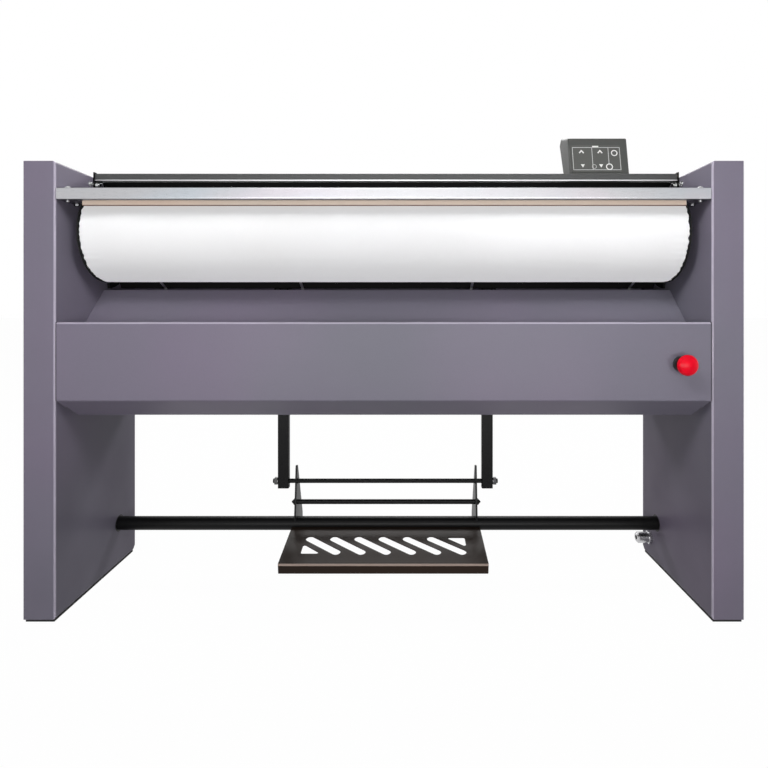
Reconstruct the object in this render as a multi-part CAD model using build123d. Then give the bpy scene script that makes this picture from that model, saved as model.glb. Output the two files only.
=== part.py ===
from build123d import *
import math
import os

# Flatwork ironer with a padded roller, a heated chest behind it and a foot pedal.
# Sizes are in millimetres. X runs along the roller, Y runs backwards and Z upwards.
# While it is drawn, the front faces of the posts lie at Y = 0; save() moves every piece
# so that the origin lies on the floor under the middle of the machine.

# --- Posts and feet ---------------------------------------------------------------------
overall_width = 1610
post_width = 70
post_top = 1032
post_sheet = 2
post_round = 5
post_lip = 12
post_heel = 10
cover_sheet = 1.5
cover_screw_radius = 4.5
cover_screw_shank = 2.5
cover_screw_length = 8
cover_screw_edge = 7
foot_height = 6
foot_inset = 3

# --- Padded roller ----------------------------------------------------------------------
roller_y = 150
roller_z = 883
roller_radius = 115.6
roller_end_gap = 27
padding_depth = 10
padding_lip = 7
padding_round = 4
padding_turn_in = 25
tube_wall = 3
end_disc = 8
end_disc_set_in = 2
hub_radius = 27
hub_length = 22
journal_radius = 15
journal_wall_gap = 3
bearing_fit = 0.05
bearing_flange = 92
bearing_flange_depth = 12
bearing_boss_radius = 31
bearing_boss_depth = 20

# --- Belt drive in the right post -------------------------------------------------------
motor_y = 265
motor_z = 560
pulley_gap = 6
pulley_width = 20
pulley_rim = 2
roller_pulley_radius = 70
motor_pulley_radius = 28
belt_depth = 5
belt_gap = 0.3
shaft_overhang = 4
motor_shaft_radius = 9.5
motor_shaft_grip = 38
motor_shaft_fit = 0.1
motor_shaft_gap = 2
motor_shaft_end_gap = 1
gearbox_radius = 52
gearbox_length = 72
gearbox_chamfer = 6
motor_radius = 48
motor_length = 175
motor_fins = 5
motor_fin_depth = 4
motor_fin_start = 35
motor_fin_pitch = 17
motor_fin_gap = 8
motor_bracket_sheet = 8
motor_bracket_margin = 14

# --- Front beam and linen tray ----------------------------------------------------------
side_gap = 1
beam_set_back = 1
beam_end_gap = 2.5
beam_sheet = 2
beam_bend = 3
beam_bottom = 495
beam_top = 671
beam_lip_depth = 13
beam_lip_drop = 19
beam_flange_depth = 74
beam_flange_drop = 46
flange_relief_start = 34
flange_relief_width = 6
tray_sheet = 1.5
tray_floor = 606
tray_front_rise = 34
panel_top_y = 196
panel_top_z = 753
panel_foot_y = 60
panel_foot_rise = 10
panel_back_depth = 8
panel_back_drop = 20
finger_from_left_post = 158
finger_from_right_post = 103
finger_from_middle = 220
finger_width = 6
finger_sheet = 1.5
finger_gap = 1.2
finger_bend = 1
finger_reach = 24
finger_foot = 18

# --- Feed bar ---------------------------------------------------------------------------
feed_bottom = 946
feed_top = 973
feed_depth = 40
feed_sheet = 1.5
feed_bend = 2.5
feed_hem = 8
feed_back_drop = 21
feed_end_gap = 2.5
lip_sheet = 3
lip_round = 1
lip_bottom = 939
lip_top = 964
lip_end_gap = 10
feed_bracket_width = 25.5
feed_bracket_sheet = 2
feed_bracket_leg = 3
feed_bracket_depth = 118
feed_bracket_top = 970
feed_bracket_round = 14
feed_bracket_set_back = 5
feed_stud_radius = 4
feed_stud_from_post = 16.5
feed_nut_across = 12
feed_nut_height = 6
feed_nut_flat_height = 3.5
feed_nut_dome_radius = 5
feed_nut_chamfer = 2

# --- Hand guard -------------------------------------------------------------------------
guard_front = 146
guard_depth = 26
guard_bottom = 1021.5
guard_top = 1040
guard_sheet = 1.5
guard_lip = 10
guard_arm_sheet = 3
guard_arm_gap = 2
guard_arm_top = 1042.5
guard_arm_bottom = 1004
guard_pin_y = 178
guard_pin_z = 1029
guard_pin_radius = 4
guard_pin_fit = 0.08
guard_boss_radius = 8
guard_arm_lead = 3
guard_arm_top_width = 9
guard_arm_foot_width = 17
guard_washer_radius = 6.4
guard_washer_gap = 0.5
switch_from_post = 95
switch_length = 24
switch_depth = 18
switch_height = 22
switch_lever = 16
switch_lever_inset = 3
switch_lever_sheet = 1
switch_round = 1.5
switch_set_back = 4.5

# --- Covers behind the roller -----------------------------------------------------------
top_cover_z = 1030
top_cover_front = 190
top_cover_drop = 18
top_cover_slope = 29
rear_skirt = 70
rear_cover_bottom = 452
rear_cover_inset = 2
cover_seam = 1
back_sheet = 1.5
back_bend = 2
back_hem = 15
vent_length = 60
vent_width = 5
vent_pitch = 18
vent_rows = 5
vent_bottom = 560
vent_from_post = 175
rail_bottom = 455
rail_height = 40
rail_depth = 34
rail_wall = 2.5
rail_round = 3.5
bumper_radius = 12
bumper_length = 35
bumper_chamfer = 3
bumper_gap = 0.3

# --- Control box ------------------------------------------------------------------------
control_from_post = 256
control_width = 156
control_height = 122
control_front = 200
control_lean = 11.3
control_foot_depth = 51
control_back_depth = 103
control_back_height = 124.5
control_top_depth = 89
control_top_height = 140.5
control_wall = 3
control_round = 4
panel_from_left = 72
panel_middle = 65
panel_width = 130
panel_height = 76
panel_sheet = 1.2
panel_round = 4

# --- Emergency stop button --------------------------------------------------------------
stop_from_post = 71
stop_z = 578
stop_reach = 42
stop_head_radius = 23
stop_head_depth = 20
stop_head_edge = 7
stop_dome_rise = 5
stop_shoulder_radius = 19.5
stop_foot_radius = 13
stop_rim_width = 3
stop_collar_radius = 17
stop_collar_depth = 8
stop_stem_radius = 9
stop_stem_fit = 0.1
stop_hole_radius = 11
stop_block_size = 38
stop_block_depth = 36
stop_block_floor = 4
stop_travel = 4
stop_nut_depth = 5
stop_nut_radius = 17
stop_block_round = 3
stop_end_gap = 1

# --- Heated chest -----------------------------------------------------------------------
chest_gap = 0.5
chest_wall = 12
chest_end_gap = 30
chest_from_angle = -60
chest_to_angle = 58
chest_end_sheet = 5
chest_cover_radius = 149
chest_cover_sheet = 1.5
chest_entry_round = 4
chest_open_angle = 1.76
chest_pivot_y = 205
chest_pivot_z = 1000
chest_pivot_radius = 8
chest_pivot_fit = 0.1
chest_pivot_grip = 2
chest_lug_radius = 13
chest_tip_radius = 130
chest_tip_angle = -86
pivot_flange_radius = 18
pivot_flange_depth = 6
heater_radius = 4.25
heater_sink = 2
heater_angles = (-46, -38, -12, -4, 22, 30)
heater_set_in = 30
strap_from_end = 165
strap_from_middle = 180
strap_width = 20
strap_sheet = 2
strap_foot = 2
strap_margin_angle = 8

# --- Levers and upper rod ---------------------------------------------------------------
lever_x = 279
linkage_x = -7
lever_width = 30
lever_depth = 20
lever_wall = 2
lever_round = 3
lever_y = 275
lever_bottom = 209
lever_top = 745
saddle_sheet = 4
saddle_bottom = 700
saddle_top = 790
upper_rod_z = 227
upper_rod_radius = 6
rod_end = 14
rod_nut_across = 18
rod_nut_depth = 8
rod_washer_radius = 9.5
rod_washer_depth = 2

# --- Pedal ------------------------------------------------------------------------------
axle_y = 270
axle_z = 113
axle_radius = 18
axle_wall = 3
axle_fit = 0.08
axle_set_in = 2
bush_flange_radius = 28
bush_flange_depth = 4
bush_wall = 4
bush_depth = 7
tread_x = -5
tread_width = 509
tread_length = 162
tread_rear_y = 252
tread_rear_z = 109
tread_slope = 8.53
tread_skirt = 24
tread_sheet = 2.5
tread_round = 3
slot_count = 6
slot_pitch = 63
slot_width = 23
slot_length = 116
slot_angle = 37.5
slot_centre = 83
slot_field = 208
slot_corner_width = 52
slot_corner_depth = 42
blade_sheet = 5
blade_side_gap = 3
blade_front_y = 256
blade_back_y = 350
blade_foot_z = 96
blade_back_rise = 18
blade_tip_y = 279
blade_tip_z = 268
blade_tip_width = 9
blade_arm_depth = 17
blade_arm_front = 16
blade_lug_radius = 27
blade_slot_gap = 0.8
blade_slot_play = 3
lower_rod_y = 274
lower_rod_z = 170
lower_rod_radius = 6.5
lower_nut_across = 15
lower_nut_depth = 4
lower_nut_point = 6
lower_nut_tip_radius = 1.5

# --- Cable gland ------------------------------------------------------------------------
gland_y = 305
gland_z = 59
gland_across = 32
gland_flange_depth = 8
gland_body_radius = 14
gland_reach = 40
gland_cap_radius = 15
gland_cap_depth = 20
gland_cap_chamfer = 4
gland_bore = 6
gland_thread_radius = 12
gland_nut_depth = 6
gland_thread_end = 2

# --- Sizes that follow from the ones above ------------------------------------------------
def both_ways(*distances):
    """Places at the distances to the left and to the right of the machine's middle."""
    return [side * distance for distance in distances for side in (-1, 1)]


post_outer = overall_width / 2
post_inner = post_outer - post_width
post_cavity = post_inner + post_sheet
lever_front = lever_y - lever_depth / 2
lever_back = lever_y + lever_depth / 2
rail_front = lever_back + bumper_length
post_depth = rail_front + rail_depth + rear_cover_inset
front_shift = (stop_reach - post_depth) / 2
roller_half = post_inner - roller_end_gap
tube_radius = roller_radius - padding_depth
tube_half = roller_half - padding_lip
pulley_start = post_cavity + bearing_boss_depth + pulley_gap
pulley_end = pulley_start + pulley_width
shaft_end = pulley_end + shaft_overhang
chest_half = post_inner - chest_end_gap
strap_places = both_ways(strap_from_middle, chest_half - strap_from_end)
chest_radius = roller_radius + chest_gap
chest_outer = chest_radius + chest_wall
heater_path = chest_outer + heater_radius - heater_sink
blade_x = tread_width / 2 - tread_sheet - blade_side_gap - blade_sheet / 2
lip_half = roller_half - lip_end_gap
finger_places = both_ways(finger_from_middle)
finger_places += [finger_from_left_post - post_inner, post_inner - finger_from_right_post]
switch_x = post_inner - switch_from_post
vent_places = both_ways(post_inner - vent_from_post)
stop_x = post_inner - stop_from_post
control_left = post_inner - control_from_post
control_slope = math.tan(math.radians(control_lean))


# --- Shared shapes ----------------------------------------------------------------------
def save(name, *solids):
    """Move the solids of one piece into the machine's frame and write them."""
    placed = [Pos(0, front_shift, 0) * solid for solid in solids]
    whole = placed[0] if len(placed) == 1 else Compound(children=placed)
    export_step(whole, os.path.join("parts", name + ".step"))


def block(x0, x1, y0, y1, z0, z1):
    """Rectangular block between two corners."""
    centre = Pos((x0 + x1) / 2, (y0 + y1) / 2, (z0 + z1) / 2)
    return centre * Box(abs(x1 - x0), abs(y1 - y0), abs(z1 - z0))


def bar_x(y, z, radius, x0, x1):
    """Round bar along X between x0 and x1."""
    return Pos((x0 + x1) / 2, y, z) * Rot(0, 90, 0) * Cylinder(radius, abs(x1 - x0))


def bar_y(x, z, radius, y0, y1):
    """Round bar along Y between y0 and y1."""
    return Pos(x, (y0 + y1) / 2, z) * Rot(90, 0, 0) * Cylinder(radius, abs(y1 - y0))


def hexagon_x(y, z, across, x0, x1):
    """Hexagonal nut or head along X, with its width across flats."""
    start = min(x0, x1)
    sketch = Pos(y, z) * RegularPolygon(across / math.sqrt(3), 6)
    return extrude(Plane.YZ.offset(start) * sketch, amount=abs(x1 - x0))


def along_x(profile, x0, x1):
    """Profile drawn in Y and Z, carried along X from x0 to x1."""
    return extrude(Plane.YZ.offset(min(x0, x1)) * profile, amount=abs(x1 - x0))


def outline(*corners):
    """Closed face through its corners."""
    return make_face(Polyline(*corners, close=True))


def folded(points, sheet, bend):
    """Section of a folded sheet whose given face runs through the points.

    The metal lies to the left of the points for a positive sheet and to the right for a
    negative one. Every fold has the same inside radius.
    """
    corners = [Vector(*point) for point in points]
    sides = [(b - a).normalized() for a, b in zip(corners, corners[1:])]
    normals = [Vector(-side.Y, side.X) for side in sides]
    other = [corners[0] + normals[0] * sheet]
    for corner, before, after in zip(corners[1:], normals, normals[1:]):
        other.append(corner + (before + after) * (sheet / (1 + before.dot(after))))
    other.append(corners[-1] + normals[-1] * sheet)
    outer_radii = []
    inner_radii = []
    for before, after in zip(sides, sides[1:]):
        inward = (before.X * after.Y - before.Y * after.X) * sheet > 0
        outer_radii.append(bend + abs(sheet) if inward else bend)
        inner_radii.append(bend if inward else bend + abs(sheet))
    lines = [
        FilletPolyline(*corners, radius=outer_radii),
        FilletPolyline(*other, radius=inner_radii),
        Line(corners[0], other[0]),
        Line(corners[-1], other[-1]),
    ]
    return make_face([edge for line in lines for edge in line.edges()])


def ring_sector(inner, outer, start, end):
    """Part of a ring about the roller's axis, in Y and Z, between two angles."""
    first = Vector(math.cos(math.radians(start)), math.sin(math.radians(start)))
    last = Vector(math.cos(math.radians(end)), math.sin(math.radians(end)))
    lines = [
        CenterArc((0, 0), inner, start, end - start),
        CenterArc((0, 0), outer, start, end - start),
        Line(first * inner, first * outer),
        Line(last * inner, last * outer),
    ]
    face = make_face([edge for line in lines for edge in line.edges()])
    return Pos(roller_y, roller_z) * face


def both_sides(part):
    """The piece and its mirror image across the machine's middle."""
    return [part, mirror(part, about=Plane.YZ)]


def on_linkage(parts):
    """Pieces drawn about the machine's middle, moved to the middle of the linkage."""
    return [Pos(linkage_x, 0, 0) * part for part in parts]


def opened(part):
    """Swing a piece of the chest from its closed place to its place at rest."""
    return part.rotate(Axis((0, chest_pivot_y, chest_pivot_z), (1, 0, 0)), chest_open_angle)


# --- Posts and feet ---------------------------------------------------------------------
def post_outline():
    """Side view of a post, with its chamfered heel."""
    return outline(
        (0, foot_height),
        (post_depth - post_heel, foot_height),
        (post_depth, foot_height + post_heel),
        (post_depth, post_top),
        (0, post_top),
    )


def post_shell():
    """Right-hand post: folded sheet, open to the outside between its lips."""
    lip_face = post_outer - cover_sheet
    body = along_x(post_outline(), post_inner, lip_face)
    inner_face = body.faces().sort_by(Axis.X)[0]
    body = fillet(inner_face.edges(), post_round)
    inside = offset(post_outline(), -post_sheet, kind=Kind.INTERSECTION)
    opening = offset(post_outline(), -post_sheet - post_lip, kind=Kind.INTERSECTION)
    body -= along_x(inside, post_cavity, lip_face - post_sheet)
    body -= along_x(opening, post_cavity, lip_face)
    for y, z, radius in (
        (roller_y, roller_z, journal_radius + journal_wall_gap),
        (axle_y, axle_z, axle_radius + bush_wall),
        (chest_pivot_y, chest_pivot_z, chest_pivot_radius),
        (guard_pin_y, guard_pin_z, guard_pin_radius),
    ):
        body -= bar_x(y, z, radius, post_inner, post_cavity)
    for y, z in cover_screw_places():
        body -= bar_x(y, z, cover_screw_shank, lip_face - post_sheet, lip_face)
    return body


def cover_screw_places():
    """Places of the side cover's screws in Y and Z, on the post's lips."""
    low = foot_height + post_sheet + 3 * post_lip
    high = post_top - post_sheet - cover_screw_edge
    ys = (post_sheet + cover_screw_edge, post_depth - post_sheet - cover_screw_edge)
    return [(y, z) for y in ys for z in (low, high)]


def side_cover():
    """Right-hand side cover, with holes for its flush screws."""
    cover = along_x(post_outline(), post_outer - cover_sheet, post_outer)
    for y, z in cover_screw_places():
        cover -= bar_x(y, z, cover_screw_radius, post_outer - cover_sheet, post_outer)
    return cover


def side_cover_screws():
    """Flush screws of the right-hand side cover."""
    screws = []
    for y, z in cover_screw_places():
        head = bar_x(y, z, cover_screw_radius, post_outer - cover_sheet, post_outer)
        tip = post_outer - cover_sheet - cover_screw_length
        screws.append(head + bar_x(y, z, cover_screw_shank, tip, post_outer - cover_sheet))
    return screws


def foot_pad():
    """Right-hand rubber strip under the post, down to the floor."""
    x0 = post_inner + foot_inset
    x1 = post_outer - foot_inset
    return block(x0, x1, foot_inset, post_depth - post_heel, 0, foot_height)


def make_posts():
    """Write both posts with their covers, screws and feet."""
    right = post_shell()
    left = mirror(right, about=Plane.YZ)
    shaft_hole = motor_shaft_radius + motor_shaft_gap
    right -= bar_x(motor_y, motor_z, shaft_hole, post_inner, post_cavity)
    right -= bar_x(gland_y, gland_z, gland_thread_radius, post_inner, post_cavity)
    cover = side_cover()
    screws = side_cover_screws()
    save("post_left", left)
    save("post_right", right)
    save("side_cover_left", mirror(cover, about=Plane.YZ))
    save("side_cover_right", cover)
    save("side_cover_screws", *[half for screw in screws for half in both_sides(screw)])
    save("foot_pads", *both_sides(foot_pad()))


# --- Front beam and linen tray ----------------------------------------------------------
def front_beam():
    """Folded fascia between the posts, with its rounded top lip and lower flange."""
    face_y = beam_set_back
    section = folded(
        [
            (face_y + beam_flange_depth, beam_bottom - beam_flange_drop),
            (face_y, beam_bottom),
            (face_y, beam_top),
            (face_y + beam_lip_depth, beam_top),
            (face_y + beam_lip_depth, beam_top - beam_lip_drop),
        ],
        -beam_sheet,
        beam_bend,
    )
    beam = along_x(section, beam_end_gap - post_inner, post_inner - beam_end_gap)
    relief = block(
        post_inner - flange_relief_width,
        post_inner,
        flange_relief_start,
        2 * beam_flange_depth,
        beam_bottom - 2 * beam_flange_drop,
        beam_bottom,
    )
    for corner in both_sides(relief):
        beam -= corner
    return beam - bar_y(stop_x, stop_z, stop_hole_radius, 0, 2 * beam_sheet)


def linen_tray():
    """Sloped panel under the roller that runs down into the open linen tray."""
    front = beam_set_back + beam_sheet + tray_sheet
    section = folded(
        [
            (panel_top_y + panel_back_depth, panel_top_z - panel_back_drop),
            (panel_top_y, panel_top_z),
            (panel_foot_y, tray_floor + panel_foot_rise),
            (front, tray_floor),
            (front, tray_floor + tray_front_rise),
        ],
        tray_sheet,
        beam_bend,
    )
    return along_x(section, side_gap - post_inner, post_inner - side_gap)


def stripper_fingers():
    """Spring fingers behind the panel's edge that lift the linen off the roller."""
    tip_y = panel_top_y - finger_reach
    drop = math.sqrt((roller_radius + finger_gap) ** 2 - (tip_y - roller_y) ** 2)
    tip_z = roller_z - drop - finger_sheet
    bend_y = panel_top_y + finger_sheet + finger_bend
    bend_z = panel_top_z + finger_bend
    back = Vector(panel_back_depth, -panel_back_drop).normalized()
    section = folded(
        [
            (tip_y, tip_z),
            (bend_y, bend_z),
            (bend_y + back.X * finger_foot, bend_z + back.Y * finger_foot),
        ],
        finger_sheet,
        finger_bend,
    )
    return [
        along_x(section, place - finger_width / 2, place + finger_width / 2)
        for place in finger_places
    ]


def make_front():
    """Write the beam, the tray and the stripper fingers."""
    save("front_beam", front_beam())
    save("linen_tray", linen_tray())
    save("stripper_fingers", *stripper_fingers())


# --- Feed bar ---------------------------------------------------------------------------
def feed_stud_place():
    """X and Y of the right-hand stud that holds the feed bar."""
    return post_inner - feed_stud_from_post, feed_depth / 2


def feed_bar():
    """Stainless bar over which the linen is fed to the roller."""
    section = folded(
        [
            (feed_depth, feed_top - feed_back_drop),
            (feed_depth, feed_top),
            (0, feed_top),
            (0, feed_bottom),
            (feed_hem, feed_bottom),
        ],
        feed_sheet,
        feed_bend,
    )
    half = post_inner - feed_end_gap
    bar = along_x(section, -half, half)
    x, y = feed_stud_place()
    for place in (-x, x):
        hole = Cylinder(feed_stud_radius, 2 * feed_sheet)
        bar -= Pos(place, y, feed_top - feed_sheet) * hole
    return bar


def feed_lip():
    """Brown strip behind the feed bar that guides the linen to the roller."""
    y1 = feed_depth + lip_sheet
    strip = block(-lip_half, lip_half, feed_depth, y1, lip_bottom, lip_top)
    lower = strip.edges().filter_by(Axis.X).sort_by(Axis.Z)[:2]
    return fillet(lower, lip_round)


def feed_bracket():
    """Right-hand angle that carries the feed bar on the post."""
    floor = feed_bottom + feed_sheet
    y0 = feed_bracket_set_back
    x0 = post_inner - feed_bracket_width
    leg = block(x0, post_inner, y0, feed_bracket_depth, floor, floor + feed_bracket_leg)
    wall_x = post_inner - feed_bracket_sheet
    wall = block(wall_x, post_inner, y0, feed_bracket_depth, floor, feed_bracket_top)
    front_corner = wall.edges().filter_by(Axis.X).group_by(Axis.Z)[-1]
    wall = fillet(front_corner, feed_bracket_round)
    x, y = feed_stud_place()
    hole = Cylinder(feed_stud_radius, 4 * feed_bracket_leg)
    return leg + wall - Pos(x, y, floor) * hole


def feed_nut():
    """Right-hand stud and cap nut on top of the feed bar."""
    x, y = feed_stud_place()
    bottom = feed_bottom + feed_sheet - feed_stud_radius
    stud = Pos(x, y, bottom) * Cylinder(
        feed_stud_radius, feed_top - bottom, align=(Align.CENTER, Align.CENTER, Align.MIN)
    )
    base = extrude(RegularPolygon(feed_nut_across / math.sqrt(3), 6), feed_nut_flat_height)
    dome = Cylinder(
        feed_nut_dome_radius, feed_nut_height, align=(Align.CENTER, Align.CENTER, Align.MIN)
    )
    dome = chamfer(dome.edges().sort_by(Axis.Z)[-1], feed_nut_chamfer)
    return stud + Pos(x, y, feed_top) * (base + dome)


def make_feed():
    """Write the feed bar, its lip, brackets and nuts."""
    save("feed_bar", feed_bar())
    save("feed_lip", feed_lip())
    save("feed_brackets", *both_sides(feed_bracket()))
    save("feed_nuts", *both_sides(feed_nut()))


# --- Hand guard -------------------------------------------------------------------------
def guard_bar():
    """Folded bar that stops the roller when a hand lifts it."""
    section = folded(
        [
            (guard_front + guard_lip, guard_bottom),
            (guard_front, guard_bottom),
            (guard_front, guard_top),
            (guard_front + guard_depth, guard_top),
        ],
        -guard_sheet,
        guard_sheet,
    )
    half = post_inner - guard_arm_gap - guard_arm_sheet
    return along_x(section, -half, half)


def guard_arm():
    """Right-hand end plate of the guard, which swings on its pin."""
    front = guard_front - guard_arm_lead
    plate = outline(
        (front, guard_arm_top),
        (front + guard_arm_top_width, guard_arm_top),
        (guard_pin_y, guard_pin_z + guard_boss_radius),
        (guard_pin_y, guard_pin_z - guard_boss_radius),
        (front + guard_arm_foot_width, guard_arm_bottom),
        (front, guard_arm_bottom),
    )
    boss = Pos(guard_pin_y, guard_pin_z) * Circle(guard_boss_radius)
    bore = Pos(guard_pin_y, guard_pin_z) * Circle(guard_pin_radius + guard_pin_fit)
    outer = post_inner - guard_arm_gap
    return along_x(plate + boss - bore, outer - guard_arm_sheet, outer)


def guard_pin():
    """Right-hand pin of the guard, fixed in the post."""
    end = post_inner - guard_arm_gap - 2 * guard_arm_sheet
    pin = bar_x(guard_pin_y, guard_pin_z, guard_pin_radius, end, post_cavity)
    washer = post_inner - guard_arm_gap + guard_washer_gap
    return pin + bar_x(guard_pin_y, guard_pin_z, guard_washer_radius, washer, post_inner)


def guard_switch():
    """Safety switch under the top cover, with its lever towards the guard."""
    top = top_cover_z - back_sheet
    y0 = top_cover_front + switch_set_back
    body = block(
        switch_x,
        switch_x + switch_length,
        y0,
        y0 + switch_depth,
        top - switch_height,
        top,
    )
    body = fillet(body.edges().filter_by(Axis.Z), switch_round)
    lever_z = top - switch_height
    lever = block(
        switch_x + switch_lever_inset,
        switch_x + switch_length - switch_lever_inset,
        y0 - switch_lever,
        y0 + switch_depth / 2,
        lever_z - switch_lever_sheet,
        lever_z,
    )
    return body + lever


def make_guard():
    """Write the guard, its arms and pins and its switch."""
    arm = guard_arm()
    save("guard_bar", guard_bar())
    save("guard_arm_left", mirror(arm, about=Plane.YZ))
    save("guard_arm_right", arm)
    save("guard_pins", *both_sides(guard_pin()))
    save("guard_switch", guard_switch())


# --- Covers behind the roller -----------------------------------------------------------
def top_cover():
    """Folded cover over the chest, sloping down to the rear cover."""
    rear = post_depth - rear_cover_inset
    section = folded(
        [
            (top_cover_front, top_cover_z - top_cover_drop),
            (top_cover_front, top_cover_z),
            (rear - top_cover_slope, top_cover_z),
            (rear, top_cover_z - top_cover_slope),
            (rear, top_cover_z - top_cover_slope - rear_skirt),
        ],
        -back_sheet,
        back_bend,
    )
    return along_x(section, side_gap - post_inner, post_inner - side_gap)


def rear_cover():
    """Rear cover with hems, side flanges and two groups of vent slots."""
    rear = post_depth - rear_cover_inset
    top = top_cover_z - top_cover_slope - rear_skirt - cover_seam
    section = folded(
        [
            (rear - back_hem, top),
            (rear, top),
            (rear, rear_cover_bottom),
            (rear - back_hem, rear_cover_bottom),
        ],
        -back_sheet,
        back_bend,
    )
    end = post_inner - side_gap
    cover = along_x(section, -end, end)
    flange_bottom = rail_bottom + rail_height + cover_seam
    flange = block(end - back_sheet, end, rear - back_hem, rear, flange_bottom, top)
    for piece in both_sides(flange):
        cover += piece
    for place in vent_places:
        for row in range(vent_rows):
            z = vent_bottom + row * vent_pitch
            slot = Plane((place, rear, z), x_dir=(1, 0, 0), z_dir=(0, -1, 0)) * SlotOverall(
                vent_length, vent_width
            )
            cover -= extrude(slot, amount=2 * back_sheet, both=True)
    return cover


def cross_rail():
    """Rectangular tube that joins the posts behind the levers."""
    y0 = rail_front
    outer = block(
        -post_inner,
        post_inner,
        y0,
        y0 + rail_depth - back_sheet,
        rail_bottom,
        rail_bottom + rail_height,
    )
    outer = fillet(outer.edges().filter_by(Axis.X), rail_round)
    inner = block(
        -post_inner,
        post_inner,
        y0 + rail_wall,
        y0 + rail_depth - back_sheet - rail_wall,
        rail_bottom + rail_wall,
        rail_bottom + rail_height - rail_wall,
    )
    return outer - inner


def lever_bumper():
    """Right-hand rubber stop on the rail, on which the lever rests."""
    z = rail_bottom + rail_height / 2
    stop = bar_y(lever_x, z, bumper_radius, lever_back + bumper_gap, rail_front)
    return chamfer(stop.edges().sort_by(Axis.Y)[0], bumper_chamfer)


def make_back():
    """Write the covers, the rail and the bumpers."""
    save("top_cover", top_cover())
    save("rear_cover", rear_cover())
    save("cross_rail", cross_rail())
    save("lever_bumpers", *on_linkage(both_sides(lever_bumper())))


# --- Control box ------------------------------------------------------------------------
def control_box():
    """Leaning housing of the controls, hollow and open towards the top cover."""
    foot_end = control_front + control_foot_depth
    side = outline(
        (control_front, top_cover_z),
        (foot_end, top_cover_z),
        (control_front + control_back_depth, top_cover_z + control_back_height),
        (control_front + control_top_depth, top_cover_z + control_top_height),
        (control_front + control_height * control_slope, top_cover_z + control_height),
    )
    body = along_x(side, control_left, control_left + control_width)
    upright = body.edges().filter_by(lambda edge: edge.center().Z > top_cover_z + 1)
    body = fillet(upright, control_round)
    inside = offset(side, -control_wall, kind=Kind.INTERSECTION)
    x0 = control_left + control_wall
    x1 = control_left + control_width - control_wall
    body -= along_x(inside, x0, x1)
    floor_y0 = control_front + 2 * control_wall
    floor_y1 = foot_end - 2 * control_wall
    return body - block(
        x0, x1, floor_y0, floor_y1, top_cover_z, top_cover_z + 2 * control_wall
    )


def control_panel():
    """Flat membrane plate on the leaning face of the control box."""
    lean = math.radians(control_lean)
    face = Plane(
        origin=(
            control_left + panel_from_left,
            control_front + panel_middle * control_slope,
            top_cover_z + panel_middle,
        ),
        x_dir=(1, 0, 0),
        z_dir=(0, -math.cos(lean), math.sin(lean)),
    )
    return extrude(face * RectangleRounded(panel_width, panel_height, panel_round), amount=panel_sheet)


def make_controls():
    """Write the control box and its membrane plate."""
    save("control_box", control_box())
    save("control_panel", control_panel())


# --- Emergency stop button --------------------------------------------------------------
def stop_head():
    """Red mushroom head, with a domed face and a cone behind its rim."""
    face_y = -stop_reach
    back_y = face_y + stop_head_depth
    shoulder = stop_shoulder_radius
    dome = (shoulder**2 + stop_dome_rise**2) / (2 * stop_dome_rise)
    on_dome = face_y + dome - math.sqrt(dome**2 - (shoulder / 2) ** 2)
    rim_y = back_y - stop_head_edge
    rim_front = rim_y - stop_rim_width
    profile = make_face(
        [
            Line((0, face_y), (0, back_y)).edge(),
            Line((0, back_y), (stop_foot_radius, back_y)).edge(),
            Line((stop_foot_radius, back_y), (stop_head_radius, rim_y)).edge(),
            Line((stop_head_radius, rim_y), (stop_head_radius, rim_front)).edge(),
            Line((stop_head_radius, rim_front), (shoulder, face_y + stop_dome_rise)).edge(),
            ThreePointArc(
                (shoulder, face_y + stop_dome_rise), (shoulder / 2, on_dome), (0, face_y)
            ).edge(),
        ]
    )
    return Pos(stop_x, 0, stop_z) * revolve(profile, Axis.Y)


def stop_stem():
    """Sliding stem of the stop button, from its head into the contact block."""
    start = stop_head_depth - stop_reach
    block_floor = beam_set_back + beam_sheet + stop_block_depth - stop_block_floor
    end = block_floor - stop_travel - stop_end_gap
    return bar_y(stop_x, stop_z, stop_stem_radius, start, end)


def stop_collar():
    """Black collar on the beam around the stem."""
    bore = stop_stem_radius + stop_stem_fit
    y1 = beam_set_back
    collar = bar_y(stop_x, stop_z, stop_collar_radius, y1 - stop_collar_depth, y1)
    collar = chamfer(collar.edges().sort_by(Axis.Y)[0], stop_collar_depth / 6)
    neck_end = beam_set_back + beam_sheet
    collar += bar_y(stop_x, stop_z, stop_hole_radius, y1, neck_end)
    return collar - bar_y(stop_x, stop_z, bore, y1 - stop_collar_depth, neck_end)


def stop_block():
    """Contact block behind the beam, with the nut that clamps the button."""
    y0 = beam_set_back + beam_sheet
    half = stop_block_size / 2
    nut = bar_y(stop_x, stop_z, stop_nut_radius, y0, y0 + stop_nut_depth)
    body = block(
        stop_x - half,
        stop_x + half,
        y0 + stop_nut_depth,
        y0 + stop_block_depth,
        stop_z - half,
        stop_z + half,
    )
    body = fillet(body.edges().filter_by(Axis.Y), stop_block_round)
    bore_end = y0 + stop_block_depth - stop_block_floor
    bore = bar_y(stop_x, stop_z, stop_stem_radius + stop_stem_fit, y0, bore_end)
    return nut + body - bore


def make_stop():
    """Write the four pieces of the emergency stop button."""
    save("stop_head", stop_head())
    save("stop_stem", stop_stem())
    save("stop_collar", stop_collar())
    save("stop_block", stop_block())


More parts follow.
